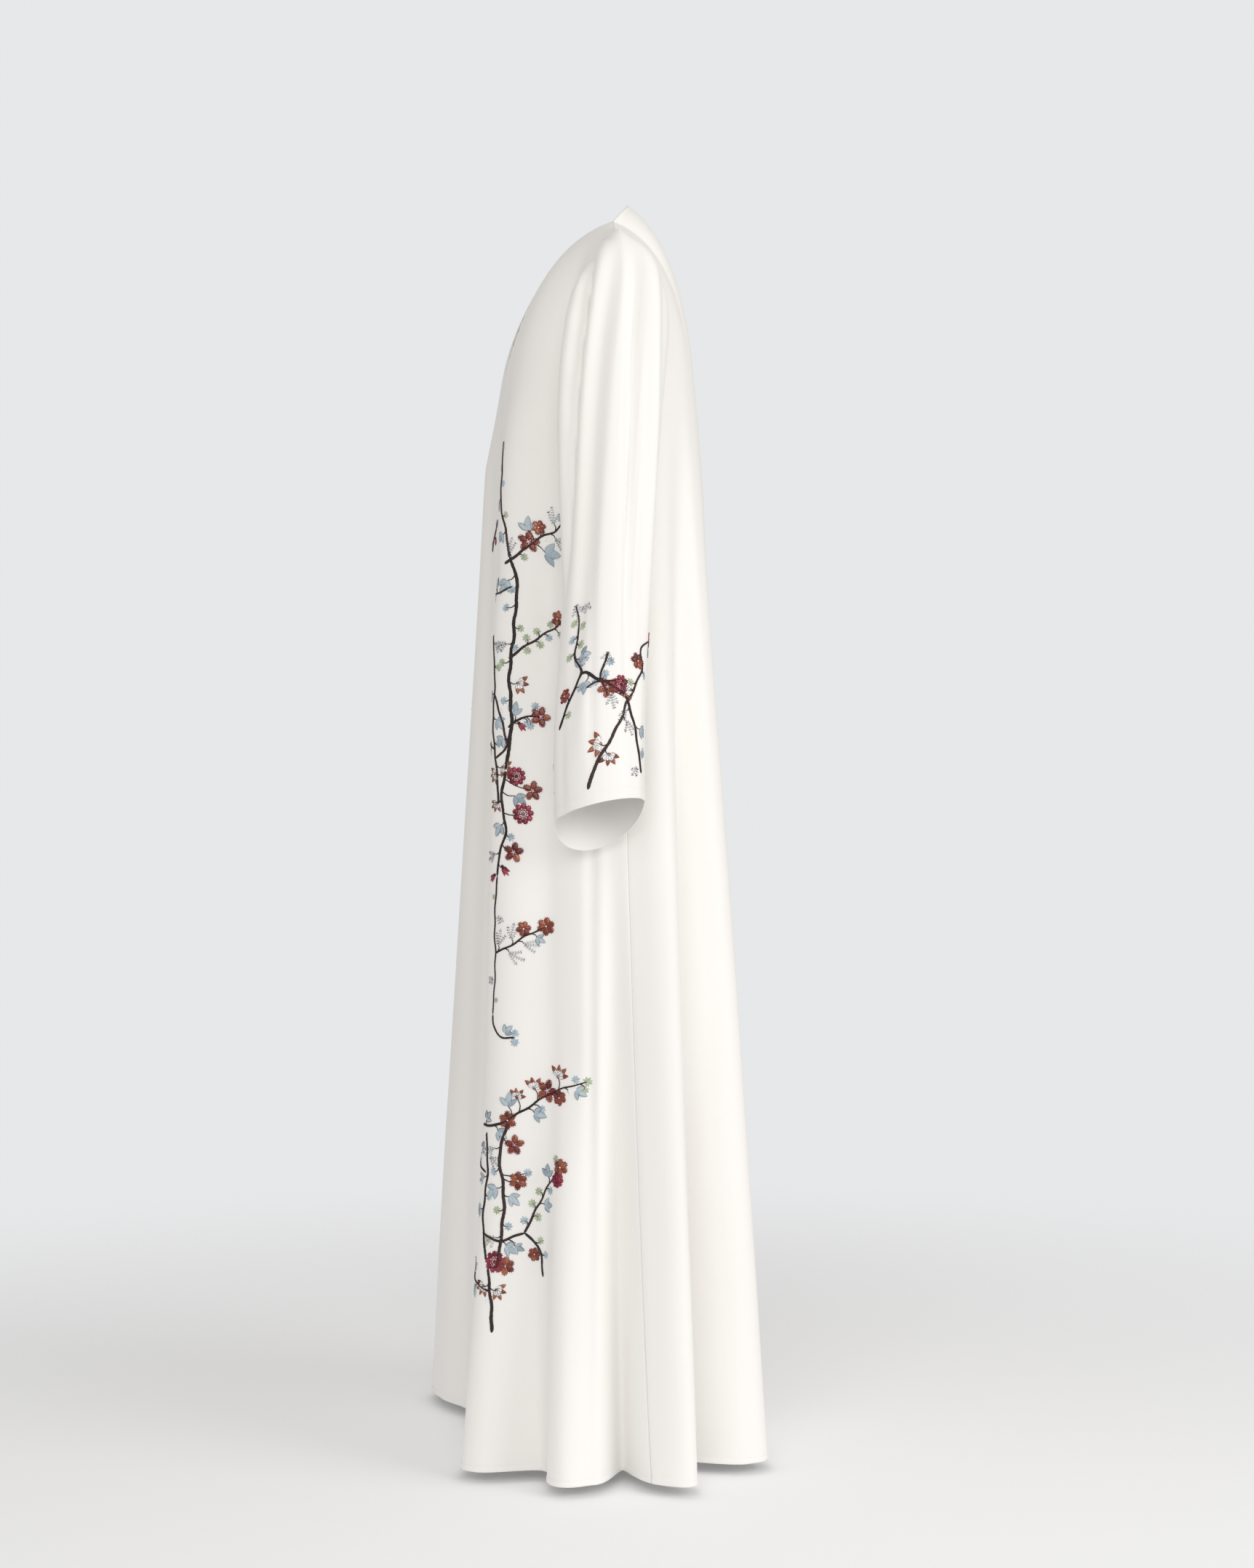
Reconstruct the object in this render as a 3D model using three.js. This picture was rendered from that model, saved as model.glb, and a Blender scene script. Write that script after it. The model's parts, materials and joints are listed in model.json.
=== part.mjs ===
// A floor-length open-front abaya as it hangs on a wearer: two fronts that meet at the centre, a back and two
// set-in sleeves, all of light crepe, with the hems turned and the neck, hem and cuffs open.
//
// Millimetres. +Z is up, -Y is the front and +X is the wearer's left. The origin lies midway between the
// two points where the shoulder seams meet the neck, which is the height at which the shoulders carry it.
//
// Every cloth piece is a thin wall: a grid of points on the garment's surface, and the same grid moved
// inwards by the cloth's thickness. The body below the bust is a stack of rounded rings. Above it each
// panel is a patch that climbs over the shoulder. The sleeves are tubes from the armhole to the cuff.
import * as THREE from "three";

// ---------------------------------------------------------------- driving dimensions
const CLOTH = 1.6; // wall of every cloth piece
const SEAM_GAP = 0.4; // between two pieces at a seam
const HEM_Z = -1460; // height of the hem below the shoulder
const FRONT_OPENING = { atBust: 0.6, atHem: 3 }; // half of the gap between the two front edges
const NECK = { halfWidth: 65, backReach: 27, backRise: 31 };
const SHOULDER_TIP = { x: 190, y: -15, z: -36 };
const UNDERARM_Z = -218;
const V_NECK_Z = -185; // where the front edges meet
const BACK_PATCH_Z = -195; // where the back's rings give way to its shoulder patch
const ARMHOLE_GAP = 2.4; // how far the sleeve's first ring stands out from the armhole
const SLEEVE_HEAD_RISE = 62; // how strongly the sleeve head starts upwards from the shoulder

// Sections of the body without its folds: half width, how far the front and the back reach from the side
// line, the side line's own place, and how square the front and the back are (2 is an ellipse).
const SECTIONS = [
  { z: -180, half: 155, front: 116, back: 111, side: -8, frontSquare: 2.35, backSquare: 2.5 },
  { z: -300, half: 163, front: 123, back: 121, side: -7, frontSquare: 2.3, backSquare: 2.4 },
  { z: -440, half: 172, front: 129, back: 127, side: -5, frontSquare: 2.25, backSquare: 2.3 },
  { z: -680, half: 188, front: 139, back: 136, side: -2, frontSquare: 2.2, backSquare: 2.25 },
  { z: -900, half: 208, front: 148, back: 142, side: 1, frontSquare: 2.2, backSquare: 2.2 },
  { z: -1200, half: 234, front: 160, back: 146, side: 5, frontSquare: 2.2, backSquare: 2.15 },
  { z: -1460, half: 255, front: 168, back: 150, side: 8, frontSquare: 2.15, backSquare: 2.1 },
];

// Folds of the body. A fold runs from its top to its end, the hem unless another is given, and goes on below
// it. Where "fades" is true it is deepest halfway and gone at its end. The angles are measured round the body
// from the centre front, positive to the wearer's left. "reach" is outwards, "width" is the fold's half width
// in degrees, "lean" slides its crest sideways, and "ease" above 1 makes it grow late.
const BODY_FOLDS = [
  { name: "bust left", top: -60, end: -420, from: 40, to: 34, reach: 12, width: 34, fades: true },
  { name: "front fold left", top: -200, end: -480, from: 35, to: 35, reach: 34, width: 22, ease: 0.8 },
  { name: "front flute left", top: -900, from: 30, to: 35, reach: 30, width: 18, lean: 4, ease: 2.4 },
  { name: "front trough left", top: -1100, from: 46, to: 46, reach: -18, width: 12, ease: 1.25 },
  { name: "side flute left", top: -980, from: 62, to: 66, reach: 46, width: 16, ease: 1.25 },
  { name: "side crease left", top: -640, from: 84, to: 83, reach: -44, width: 8, ease: 1.2 },
  { name: "rear flute left", top: -320, from: 106, to: 98, reach: 46, width: 14, lean: 16, ease: 1.2 },
  { name: "back crease left", top: -190, from: 128, to: 120, reach: -84, width: 15, ease: 1.2 },
  { name: "back flute left", top: -240, from: 146, to: 142, reach: 44, width: 17, lean: -8, ease: 1.15 },
  { name: "centre back trough", top: -420, from: 168, to: 166, reach: -34, width: 15, ease: 1.2 },
  { name: "back flute right", top: -240, from: -168, to: -166, reach: 34, width: 18, lean: 6 },
  { name: "back crease right", top: -260, from: -136, to: -140, reach: -52, width: 13, ease: 1.2 },
  { name: "rear flute right", top: -420, from: -116, to: -116, reach: 42, width: 16, lean: -10, ease: 1.2 },
  { name: "side crease right", top: -560, from: -90, to: -88, reach: -46, width: 12, ease: 1.2 },
  { name: "bust right", top: -130, end: -280, from: -40, to: -40, reach: 25, width: 34 },
  { name: "front flute right", top: -60, from: -38, to: -50, reach: 81, width: 26, lean: -4, ease: 1.4 },
  { name: "centre front trough", top: -230, end: -560, from: 0, to: 0, reach: -11, width: 22 },
];

// Shoulder patches. Each column of a panel climbs as a cubic curve. "low" is the step from the curve's foot
// to its first handle, and "high" the step from its top to its second handle, in x (outwards), y and z.
const FRONT_PATCH = [
  { at: 0, lowX: 17, lowY: 10, lowZ: 55, highX: -13, highY: -80, highZ: -27 },
  { at: 0.35, lowX: 6, lowY: 8, lowZ: 66, highX: -9, highY: -66, highZ: -12 },
  { at: 0.7, lowX: 0, lowY: 4, lowZ: 66, highX: -10, highY: -52, highZ: -16 },
  { at: 1, lowX: -4, lowY: -64, lowZ: 12, highX: -22, highY: -55, highZ: -40 },
];
const BACK_PATCH = [
  { at: 0, lowX: 0, lowY: -8, lowZ: 76, highX: 0, highY: 52, highZ: -40 },
  { at: 0.4, lowX: 3, lowY: -5, lowZ: 78, highX: 6, highY: 68, highZ: -20 },
  { at: 0.7, lowX: 2, lowY: -2, lowZ: 70, highX: -4, highY: 60, highZ: -24 },
  { at: 1, lowX: -2, lowY: 68, lowZ: 4, highX: -18, highY: 80, highZ: -44 },
];
const NECK_SHARE = 0.36; // share of a back half's columns that end on the neck curve

// Rings of the left sleeve: centre, half width across the arm, half depth along Y, how much higher the outer
// side of the ring is than its centre, and how much lower its inner side and its front are.
const SLEEVE_RINGS = [
  { name: "cap", x: 197, y: -10, z: -151, across: 33, deep: 57, rise: 84, drop: 84, dip: 0 },
  { name: "bicep", x: 212, y: -20, z: -256, across: 39, deep: 56, rise: 62, drop: 62, dip: 0 },
  { name: "elbow", x: 230, y: -30, z: -436, across: 44, deep: 50, rise: 36, drop: 48, dip: 3 },
  { name: "forearm", x: 248, y: -41, z: -610, across: 47, deep: 52, rise: 20, drop: 45, dip: 7 },
  { name: "cuff", x: 258, y: -42, z: -706, across: 50, deep: 51, rise: 13, drop: 43, dip: 10 },
];

// Folds of a sleeve. "round" is the angle round the sleeve, 0 on the outside of the arm and 90 at its front.
// "start" and "stop" count rings from 0 at the armhole to 5 at the cuff.
const SLEEVE_FOLDS = [
  { name: "front lobe", start: 0.3, stop: 3.1, from: 62, to: 88, reach: 11, width: 24 },
  { name: "front groove", start: 0.1, stop: 3.2, from: 32, to: 74, reach: -10, width: 15 },
  { name: "long trough", start: 0.3, stop: 4.4, from: 4, to: 52, reach: -9, width: 22 },
  { name: "back ridge", start: 0.2, stop: 3.8, from: -24, to: -70, reach: 9, width: 20 },
  { name: "back groove", start: 0.4, stop: 4.4, from: -4, to: -34, reach: -7, width: 13 },
  { name: "inner ridge", start: 1.2, stop: 4.2, from: 150, to: 165, reach: -7, width: 26 },
];

// How finely each piece is cut into facets.
const GRID = { frontAcross: 20, backAcross: 36, bodyDown: 11, patchUp: 7, sleeveRound: 22, sleeveDown: 15 };

// ---------------------------------------------------------------- materials
const clothMaterial = new THREE.MeshStandardMaterial({ color: 0xf1efea, roughness: 0.72, metalness: 0 });

// ---------------------------------------------------------------- small helpers
const degrees = (value) => (value * Math.PI) / 180;
const clamp01 = (value) => Math.min(1, Math.max(0, value));
const mix = (a, b, share) => a + (b - a) * share;
const signedPower = (value, power) => Math.sign(value) * Math.abs(value) ** power;

// One column of a table at a place between its rows, as a smooth curve through the rows.
function readTable(table, key, column, place) {
  const rising = table[1][key] > table[0][key] ? 1 : -1;
  let i = 0;
  while (i < table.length - 2 && (place - table[i + 1][key]) * rising > 0) i += 1;
  const [a, b] = [table[i], table[i + 1]];
  const before = table[Math.max(0, i - 1)];
  const after = table[Math.min(table.length - 1, i + 2)];
  const span = b[key] - a[key];
  const t = clamp01((place - a[key]) / span);
  const slopeA = ((b[column] - before[column]) / (b[key] - before[key])) * span;
  const slopeB = ((after[column] - a[column]) / (after[key] - a[key])) * span;
  const [t2, t3] = [t * t, t * t * t];
  return (
    (2 * t3 - 3 * t2 + 1) * a[column] +
    (t3 - 2 * t2 + t) * slopeA +
    (3 * t2 - 2 * t3) * b[column] +
    (t3 - t2) * slopeB
  );
}

// 1 on a fold's crest, falling smoothly to 0 at its half width.
const bump = (offset) => (Math.abs(offset) < 1 ? 0.5 * (1 + Math.cos(Math.PI * offset)) : 0);

// The shortest way round from one angle to another, in degrees.
const turnBetween = (from, to) => ((((to - from) % 360) + 540) % 360) - 180;

// ---------------------------------------------------------------- the body's surface
// A point of the plain section at an angle round the body and a height.
function plainRing(angle, z) {
  const half = readTable(SECTIONS, "z", "half", z);
  const side = readTable(SECTIONS, "z", "side", z);
  const part = Math.abs(angle) > 90 ? "back" : "front";
  const reach = readTable(SECTIONS, "z", part, z);
  const power = 2 / readTable(SECTIONS, "z", part + "Square", z);
  const [s, c] = [Math.sin(degrees(angle)), Math.cos(degrees(angle))];
  return new THREE.Vector3(half * signedPower(s, power), side - reach * signedPower(c, power), z);
}

function bodyPoint(angle, z) {
  const point = plainRing(angle, z);
  const along = plainRing(angle + 0.5, z).sub(plainRing(angle - 0.5, z)).normalize();
  const outward = new THREE.Vector3(along.y, -along.x, 0);
  for (const fold of BODY_FOLDS) {
    const { end = HEM_Z, lean = 0, ease = 1, fades = false } = fold;
    const share = clamp01((fold.top - z) / (fold.top - end));
    const strength = fades ? Math.sin(Math.PI * share) : share ** ease;
    const offset = turnBetween(mix(fold.from, fold.to, share), angle) / fold.width;
    const height = strength * bump(offset);
    point.addScaledVector(outward, fold.reach * height);
    point.addScaledVector(along, lean * height);
  }
  return point;
}

// ---------------------------------------------------------------- panels
// A point on the seam between neck and shoulder tip, 0 at the neck.
const shoulderSeam = (share) =>
  new THREE.Vector3(NECK.halfWidth, 0, 0).lerp(
    new THREE.Vector3(SHOULDER_TIP.x, SHOULDER_TIP.y, SHOULDER_TIP.z),
    share,
  );

// The top of the column at "at" of the left half of the back: the neck curve, then the shoulder seam.
function backTop(at) {
  if (at >= NECK_SHARE) return shoulderSeam((at - NECK_SHARE) / (1 - NECK_SHARE));
  const turn = (Math.PI / 2) * (at / NECK_SHARE);
  return new THREE.Vector3(
    NECK.halfWidth * Math.sin(turn),
    NECK.backReach * Math.cos(turn),
    NECK.backRise * Math.cos(turn),
  );
}

// A point of the shoulder patch on the left (side 1) or right (side -1) of the body. "at" runs from the
// centre to the armhole and "up" from the patch's foot to its top.
function patchPoint(table, foot, top, at, up, side) {
  const step = (name) =>
    new THREE.Vector3(
      readTable(table, "at", name + "X", at),
      readTable(table, "at", name + "Y", at),
      readTable(table, "at", name + "Z", at),
    );
  const mirrored = foot.clone();
  mirrored.x *= side;
  const low = mirrored.clone().add(step("low"));
  const high = top.clone().add(step("high"));
  const point = new THREE.CubicBezierCurve3(mirrored, low, high, top).getPoint(up);
  point.x *= side;
  return point;
}

// A point of a front. "level" runs from 0 at the hem to 1 at the patch's foot and 2 at the shoulder seam.
function frontPoint(side, at, level) {
  const footZ = mix(V_NECK_Z, UNDERARM_Z, at * at);
  const angle = side * 90 * at;
  if (level <= 1) return bodyPoint(angle, mix(HEM_Z, footZ, level));
  return patchPoint(FRONT_PATCH, bodyPoint(angle, footZ), shoulderSeam(at), at, level - 1, side);
}

// A point of the back. "across" runs from -1 at the right side seam to 1 at the left one.
function backPoint(across, level) {
  const side = across < 0 ? -1 : 1;
  const at = Math.abs(across);
  const footZ = mix(BACK_PATCH_Z, UNDERARM_Z, at * at);
  const angle = side * (180 - 90 * at);
  if (level <= 1) return bodyPoint(angle, mix(HEM_Z, footZ, level));
  return patchPoint(BACK_PATCH, bodyPoint(angle, footZ), backTop(at), at, level - 1, side);
}

// The levels of a body panel's rows, from the hem to the shoulder.
const bodyLevels = [
  ...Array.from({ length: GRID.bodyDown }, (_, i) => i / GRID.bodyDown),
  ...Array.from({ length: GRID.patchUp + 1 }, (_, i) => 1 + i / GRID.patchUp),
];

// ---------------------------------------------------------------- sleeves
// A point of the armhole at an angle round the sleeve, 0 at the shoulder tip and 180 at the underarm.
function armholePoint(round) {
  const turn = ((round % 360) + 360) % 360;
  const onFront = turn <= 180;
  const level = 2 - (onFront ? turn : 360 - turn) / 180;
  const point = onFront ? frontPoint(1, 1, level) : backPoint(1, level);
  return point.add(new THREE.Vector3(ARMHOLE_GAP, 0, 0));
}

function sleeveStation(index, round) {
  if (index <= 0) return armholePoint(round);
  const ring = SLEEVE_RINGS[Math.min(index, SLEEVE_RINGS.length) - 1];
  const [c, s] = [Math.cos(degrees(round)), Math.sin(degrees(round))];
  const height = (c > 0 ? ring.rise : ring.drop) * c - ring.dip * s;
  return new THREE.Vector3(ring.x + ring.across * c, ring.y - ring.deep * s, ring.z + height);
}

// A point of the left sleeve. "along" counts rings from 0 at the armhole.
function sleevePoint(round, along) {
  const last = SLEEVE_RINGS.length;
  const i = Math.min(last - 1, Math.floor(along));
  const points = [i - 1, i, i + 1, i + 2].map((k) =>
    sleeveStation(Math.min(last, Math.max(0, k)), round),
  );
  if (i === 0) {
    points[0].lerpVectors(points[1], points[2], -0.6);
    points[0].z -= SLEEVE_HEAD_RISE * Math.max(0, Math.cos(degrees(round))) ** 2;
  }
  const t = along - i;
  const point = new THREE.Vector3();
  for (const axis of ["x", "y", "z"]) {
    const [p0, p1, p2, p3] = points.map((p) => p[axis]);
    const square = (2 * p0 - 5 * p1 + 4 * p2 - p3) * t * t;
    const cube = (3 * p1 - p0 - 3 * p2 + p3) * t ** 3;
    point[axis] = 0.5 * (2 * p1 + (p2 - p0) * t + square + cube);
  }
  const outward = new THREE.Vector3(Math.cos(degrees(round)), -Math.sin(degrees(round)), 0);
  for (const fold of SLEEVE_FOLDS) {
    const share = clamp01((along - fold.start) / (fold.stop - fold.start));
    const offset = turnBetween(mix(fold.from, fold.to, share), round) / fold.width;
    point.addScaledVector(outward, fold.reach * Math.sin(Math.PI * share) * bump(offset));
  }
  return point;
}

// ---------------------------------------------------------------- walls
// The unit normal of a surface at a place on it, turned to the side that "flip" says.
function normalAt(surface, place, step, flip) {
  const [u, v] = place;
  const along = surface(u + step[0], v).sub(surface(u - step[0], v));
  const up = surface(u, v + step[1]).sub(surface(u, v - step[1]));
  return along.cross(up).normalize().multiplyScalar(flip ? -1 : 1);
}

// A closed wall: the grid is its outer face, and its inner face lies a cloth's thickness further in. A tube's
// rows run round and meet themselves; a panel's rows have two ends.
function wall(grid, normals, isTube, flip) {
  const [rows, columns] = [grid.length, grid[0].length];
  const inner = grid.map((row, j) => row.map((p, i) => p.clone().addScaledVector(normals[j][i], -CLOTH)));
  const positions = [grid, inner].flat(2).flatMap((p) => [p.x, p.y, p.z]);
  const outerAt = (j, i) => j * columns + (i % columns);
  const innerAt = (j, i) => rows * columns + outerAt(j, i);
  const faces = [];
  const quad = (a, b, c, d) => faces.push(...(flip ? [a, c, b, a, d, c] : [a, b, c, a, c, d]));
  const top = rows - 1;
  const end = columns - 1;
  for (let i = 0; i < (isTube ? columns : end); i += 1) {
    for (let j = 0; j < top; j += 1) {
      quad(outerAt(j, i), outerAt(j, i + 1), outerAt(j + 1, i + 1), outerAt(j + 1, i));
      quad(innerAt(j, i), innerAt(j + 1, i), innerAt(j + 1, i + 1), innerAt(j, i + 1));
    }
    quad(outerAt(0, i), innerAt(0, i), innerAt(0, i + 1), outerAt(0, i + 1));
    quad(outerAt(top, i), outerAt(top, i + 1), innerAt(top, i + 1), innerAt(top, i));
  }
  for (let j = 0; !isTube && j < top; j += 1) {
    quad(outerAt(j, 0), outerAt(j + 1, 0), innerAt(j + 1, 0), innerAt(j, 0));
    quad(outerAt(j, end), innerAt(j, end), innerAt(j + 1, end), outerAt(j + 1, end));
  }
  return new THREE.BufferGeometry()
    .setAttribute("position", new THREE.Float32BufferAttribute(positions, 3))
    .setIndex(faces);
}

// ---------------------------------------------------------------- the pieces
const garment = new THREE.Group();
function addPiece(name, geometry) {
  const mesh = new THREE.Mesh(geometry, clothMaterial);
  mesh.name = name;
  garment.add(mesh);
}

// A body panel from its surface. Its seamed edges are drawn back by half a seam gap, and along the shoulder
// the cloth's thickness is square to the seam, so that front and back don't run into each other.
function addPanel(name, surface, places, seamedEnds, flip) {
  const grid = bodyLevels.map((level) => places.map((place) => surface(place, level)));
  const normals = bodyLevels.map((level) =>
    places.map((place) => normalAt(surface, [place, level], [0.01, 0.01], flip)),
  );
  const last = places.length - 1;
  const drawBack = (point, towards) => point.add(towards.clone().sub(point).setLength(SEAM_GAP / 2));
  for (const row of grid) {
    if (seamedEnds.includes("first")) drawBack(row[0], row[1]);
    if (seamedEnds.includes("last")) drawBack(row[last], row[last - 1]);
  }
  const top = grid.length - 1;
  grid[top].forEach((point, i) => drawBack(point, grid[top - 1][i]));
  normals[top].forEach((normal) => normal.setY(0).normalize());
  addPiece(name, wall(grid, normals, false, flip));
}

const evenSteps = (from, to, count) =>
  Array.from({ length: count + 1 }, (_, i) => from + ((to - from) * i) / count);

for (const [word, side] of [["left", 1], ["right", -1]]) {
  const front = (at, level) => {
    const point = frontPoint(side, at, level);
    const opening = level <= 1 ? mix(FRONT_OPENING.atHem, FRONT_OPENING.atBust, level) : FRONT_OPENING.atBust;
    point.x += side * opening * (1 - at) * clamp01(2 - level);
    return point;
  };
  addPanel("front_" + word, front, evenSteps(0, 1, GRID.frontAcross), ["last"], side < 0);

  const sleeve = (round, along) => {
    const point = sleevePoint(round, along);
    point.x *= side;
    return point;
  };
  const rounds = evenSteps(0, 360, GRID.sleeveRound).slice(0, -1);
  const rings = evenSteps(0, SLEEVE_RINGS.length, GRID.sleeveDown);
  const grid = rings.map((along) => rounds.map((round) => sleeve(round, along)));
  const normals = rings.map((along) =>
    rounds.map((round) => normalAt(sleeve, [round, along], [2, 0.02], side > 0)),
  );
  addPiece("sleeve_" + word, wall(grid, normals, true, side > 0));
}
addPanel("back", backPoint, evenSteps(-1, 1, GRID.backAcross), ["first", "last"], true);

export default garment;
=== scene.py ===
"""A floor-length open-front abaya of off-white crepe: five thin panels on the frame's forms, their hems,
seams and stitches, and blossom-branch embroidery down both fronts and round both lower sleeves.

Sizes are millimetres and become metres where a mesh is made. +Z is up, -Y is the front and +X is the
wearer's left.
"""

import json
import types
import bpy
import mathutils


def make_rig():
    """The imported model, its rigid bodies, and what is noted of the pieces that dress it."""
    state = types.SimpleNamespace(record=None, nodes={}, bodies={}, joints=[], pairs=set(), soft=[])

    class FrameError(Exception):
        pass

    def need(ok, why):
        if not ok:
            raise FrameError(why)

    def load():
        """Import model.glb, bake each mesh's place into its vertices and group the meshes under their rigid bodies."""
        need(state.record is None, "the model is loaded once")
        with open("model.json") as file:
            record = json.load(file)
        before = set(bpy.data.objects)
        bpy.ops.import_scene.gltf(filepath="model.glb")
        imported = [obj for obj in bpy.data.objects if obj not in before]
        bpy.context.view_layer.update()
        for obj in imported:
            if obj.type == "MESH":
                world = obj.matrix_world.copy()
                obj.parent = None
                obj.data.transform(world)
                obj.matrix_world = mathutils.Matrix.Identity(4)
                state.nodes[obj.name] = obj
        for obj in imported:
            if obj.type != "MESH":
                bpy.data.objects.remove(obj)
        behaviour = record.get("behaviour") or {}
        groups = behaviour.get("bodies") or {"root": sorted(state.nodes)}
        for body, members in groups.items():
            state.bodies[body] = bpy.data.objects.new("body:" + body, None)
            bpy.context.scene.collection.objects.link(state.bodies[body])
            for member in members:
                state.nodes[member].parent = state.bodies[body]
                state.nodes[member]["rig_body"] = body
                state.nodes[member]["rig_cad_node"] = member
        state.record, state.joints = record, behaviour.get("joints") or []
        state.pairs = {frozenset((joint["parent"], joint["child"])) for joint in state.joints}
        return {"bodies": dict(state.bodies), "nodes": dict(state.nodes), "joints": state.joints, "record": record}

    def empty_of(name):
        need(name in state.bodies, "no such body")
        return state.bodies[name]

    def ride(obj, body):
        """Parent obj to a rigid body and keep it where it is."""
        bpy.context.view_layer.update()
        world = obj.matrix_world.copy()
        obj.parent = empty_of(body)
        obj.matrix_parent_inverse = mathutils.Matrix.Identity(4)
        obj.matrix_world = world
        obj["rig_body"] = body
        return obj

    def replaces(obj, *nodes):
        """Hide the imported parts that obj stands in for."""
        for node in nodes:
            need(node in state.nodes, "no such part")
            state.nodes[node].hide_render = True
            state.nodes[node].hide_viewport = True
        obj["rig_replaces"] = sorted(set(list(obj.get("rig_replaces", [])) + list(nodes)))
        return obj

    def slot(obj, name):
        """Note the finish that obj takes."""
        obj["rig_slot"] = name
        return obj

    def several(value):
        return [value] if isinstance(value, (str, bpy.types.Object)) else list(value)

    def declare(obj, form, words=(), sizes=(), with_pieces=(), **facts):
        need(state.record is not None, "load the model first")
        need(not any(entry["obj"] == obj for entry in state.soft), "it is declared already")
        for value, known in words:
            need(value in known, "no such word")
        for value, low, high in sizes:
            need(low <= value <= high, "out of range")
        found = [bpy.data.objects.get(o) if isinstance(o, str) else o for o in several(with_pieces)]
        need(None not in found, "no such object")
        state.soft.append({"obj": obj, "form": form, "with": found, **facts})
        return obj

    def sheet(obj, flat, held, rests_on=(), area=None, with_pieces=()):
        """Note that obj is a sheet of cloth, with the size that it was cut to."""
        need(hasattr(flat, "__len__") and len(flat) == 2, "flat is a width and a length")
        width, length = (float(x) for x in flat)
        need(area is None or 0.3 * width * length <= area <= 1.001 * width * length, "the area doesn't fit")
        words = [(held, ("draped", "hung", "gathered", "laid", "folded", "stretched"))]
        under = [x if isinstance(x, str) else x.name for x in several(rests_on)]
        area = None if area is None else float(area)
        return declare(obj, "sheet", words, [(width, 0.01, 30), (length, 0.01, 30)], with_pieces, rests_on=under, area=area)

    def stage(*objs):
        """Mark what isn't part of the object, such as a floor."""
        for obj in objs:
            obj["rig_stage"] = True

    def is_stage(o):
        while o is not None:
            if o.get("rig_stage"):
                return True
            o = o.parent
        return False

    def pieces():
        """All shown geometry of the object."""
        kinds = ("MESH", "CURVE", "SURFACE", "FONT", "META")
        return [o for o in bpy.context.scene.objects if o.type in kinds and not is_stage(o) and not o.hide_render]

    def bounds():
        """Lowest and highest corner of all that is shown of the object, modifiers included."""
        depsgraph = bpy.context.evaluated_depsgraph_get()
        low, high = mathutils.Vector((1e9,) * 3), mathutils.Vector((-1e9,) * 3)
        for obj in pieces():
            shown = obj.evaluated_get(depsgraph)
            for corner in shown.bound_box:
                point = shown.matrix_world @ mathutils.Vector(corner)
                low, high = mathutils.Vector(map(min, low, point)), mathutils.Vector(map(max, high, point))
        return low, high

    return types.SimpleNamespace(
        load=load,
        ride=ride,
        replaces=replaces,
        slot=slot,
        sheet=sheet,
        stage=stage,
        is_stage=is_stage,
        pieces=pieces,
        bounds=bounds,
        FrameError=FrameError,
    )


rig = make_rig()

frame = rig.load()
CAD_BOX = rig.bounds()

import functools
import json
import math
import random

import bpy
import numpy as np
from mathutils import Vector

MM = 0.001
FULL_TURN = 6.28  # the range of random phases
SIDES = (("left", 1), ("right", -1))
dice = random.Random(58)

# ---------------------------------------------------------------- the garment's form, as in the frame
HEM_Z = -1460
FRONT_OPENING = {"at_bust": 0.3, "at_hem": 0.8}  # half of the gap between the two front edges
NECK = {"half_width": 65, "back_reach": 27, "back_rise": 31}
SHOULDER_TIP = np.array([190.0, -15.0, -36.0])
UNDERARM_Z = -218
V_NECK_Z = -185
BACK_PATCH_Z = -195
SLEEVE_HEAD_RISE = 62
NECK_SHARE = 0.36  # share of a back half's columns that end on the neck curve


def table(columns, rows):
    """A table of numbers as one array for each named column."""
    return dict(zip(columns.split(), np.array(rows, float).T))


# The body without its folds: half width, reach of front and back from the side line, the side line's own
# place, and how square the front and the back are.
SECTIONS = table(
    "z half front back side front_square back_square",
    [
        (-180, 155, 116, 111, -8, 2.35, 2.5),
        (-300, 163, 123, 121, -7, 2.3, 2.4),
        (-440, 172, 129, 127, -5, 2.25, 2.3),
        (-680, 188, 139, 136, -2, 2.2, 2.25),
        (-900, 208, 148, 142, 1, 2.2, 2.2),
        (-1200, 234, 160, 146, 5, 2.2, 2.15),
        (HEM_Z, 255, 168, 150, 8, 2.15, 2.1),
    ],
)

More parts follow.
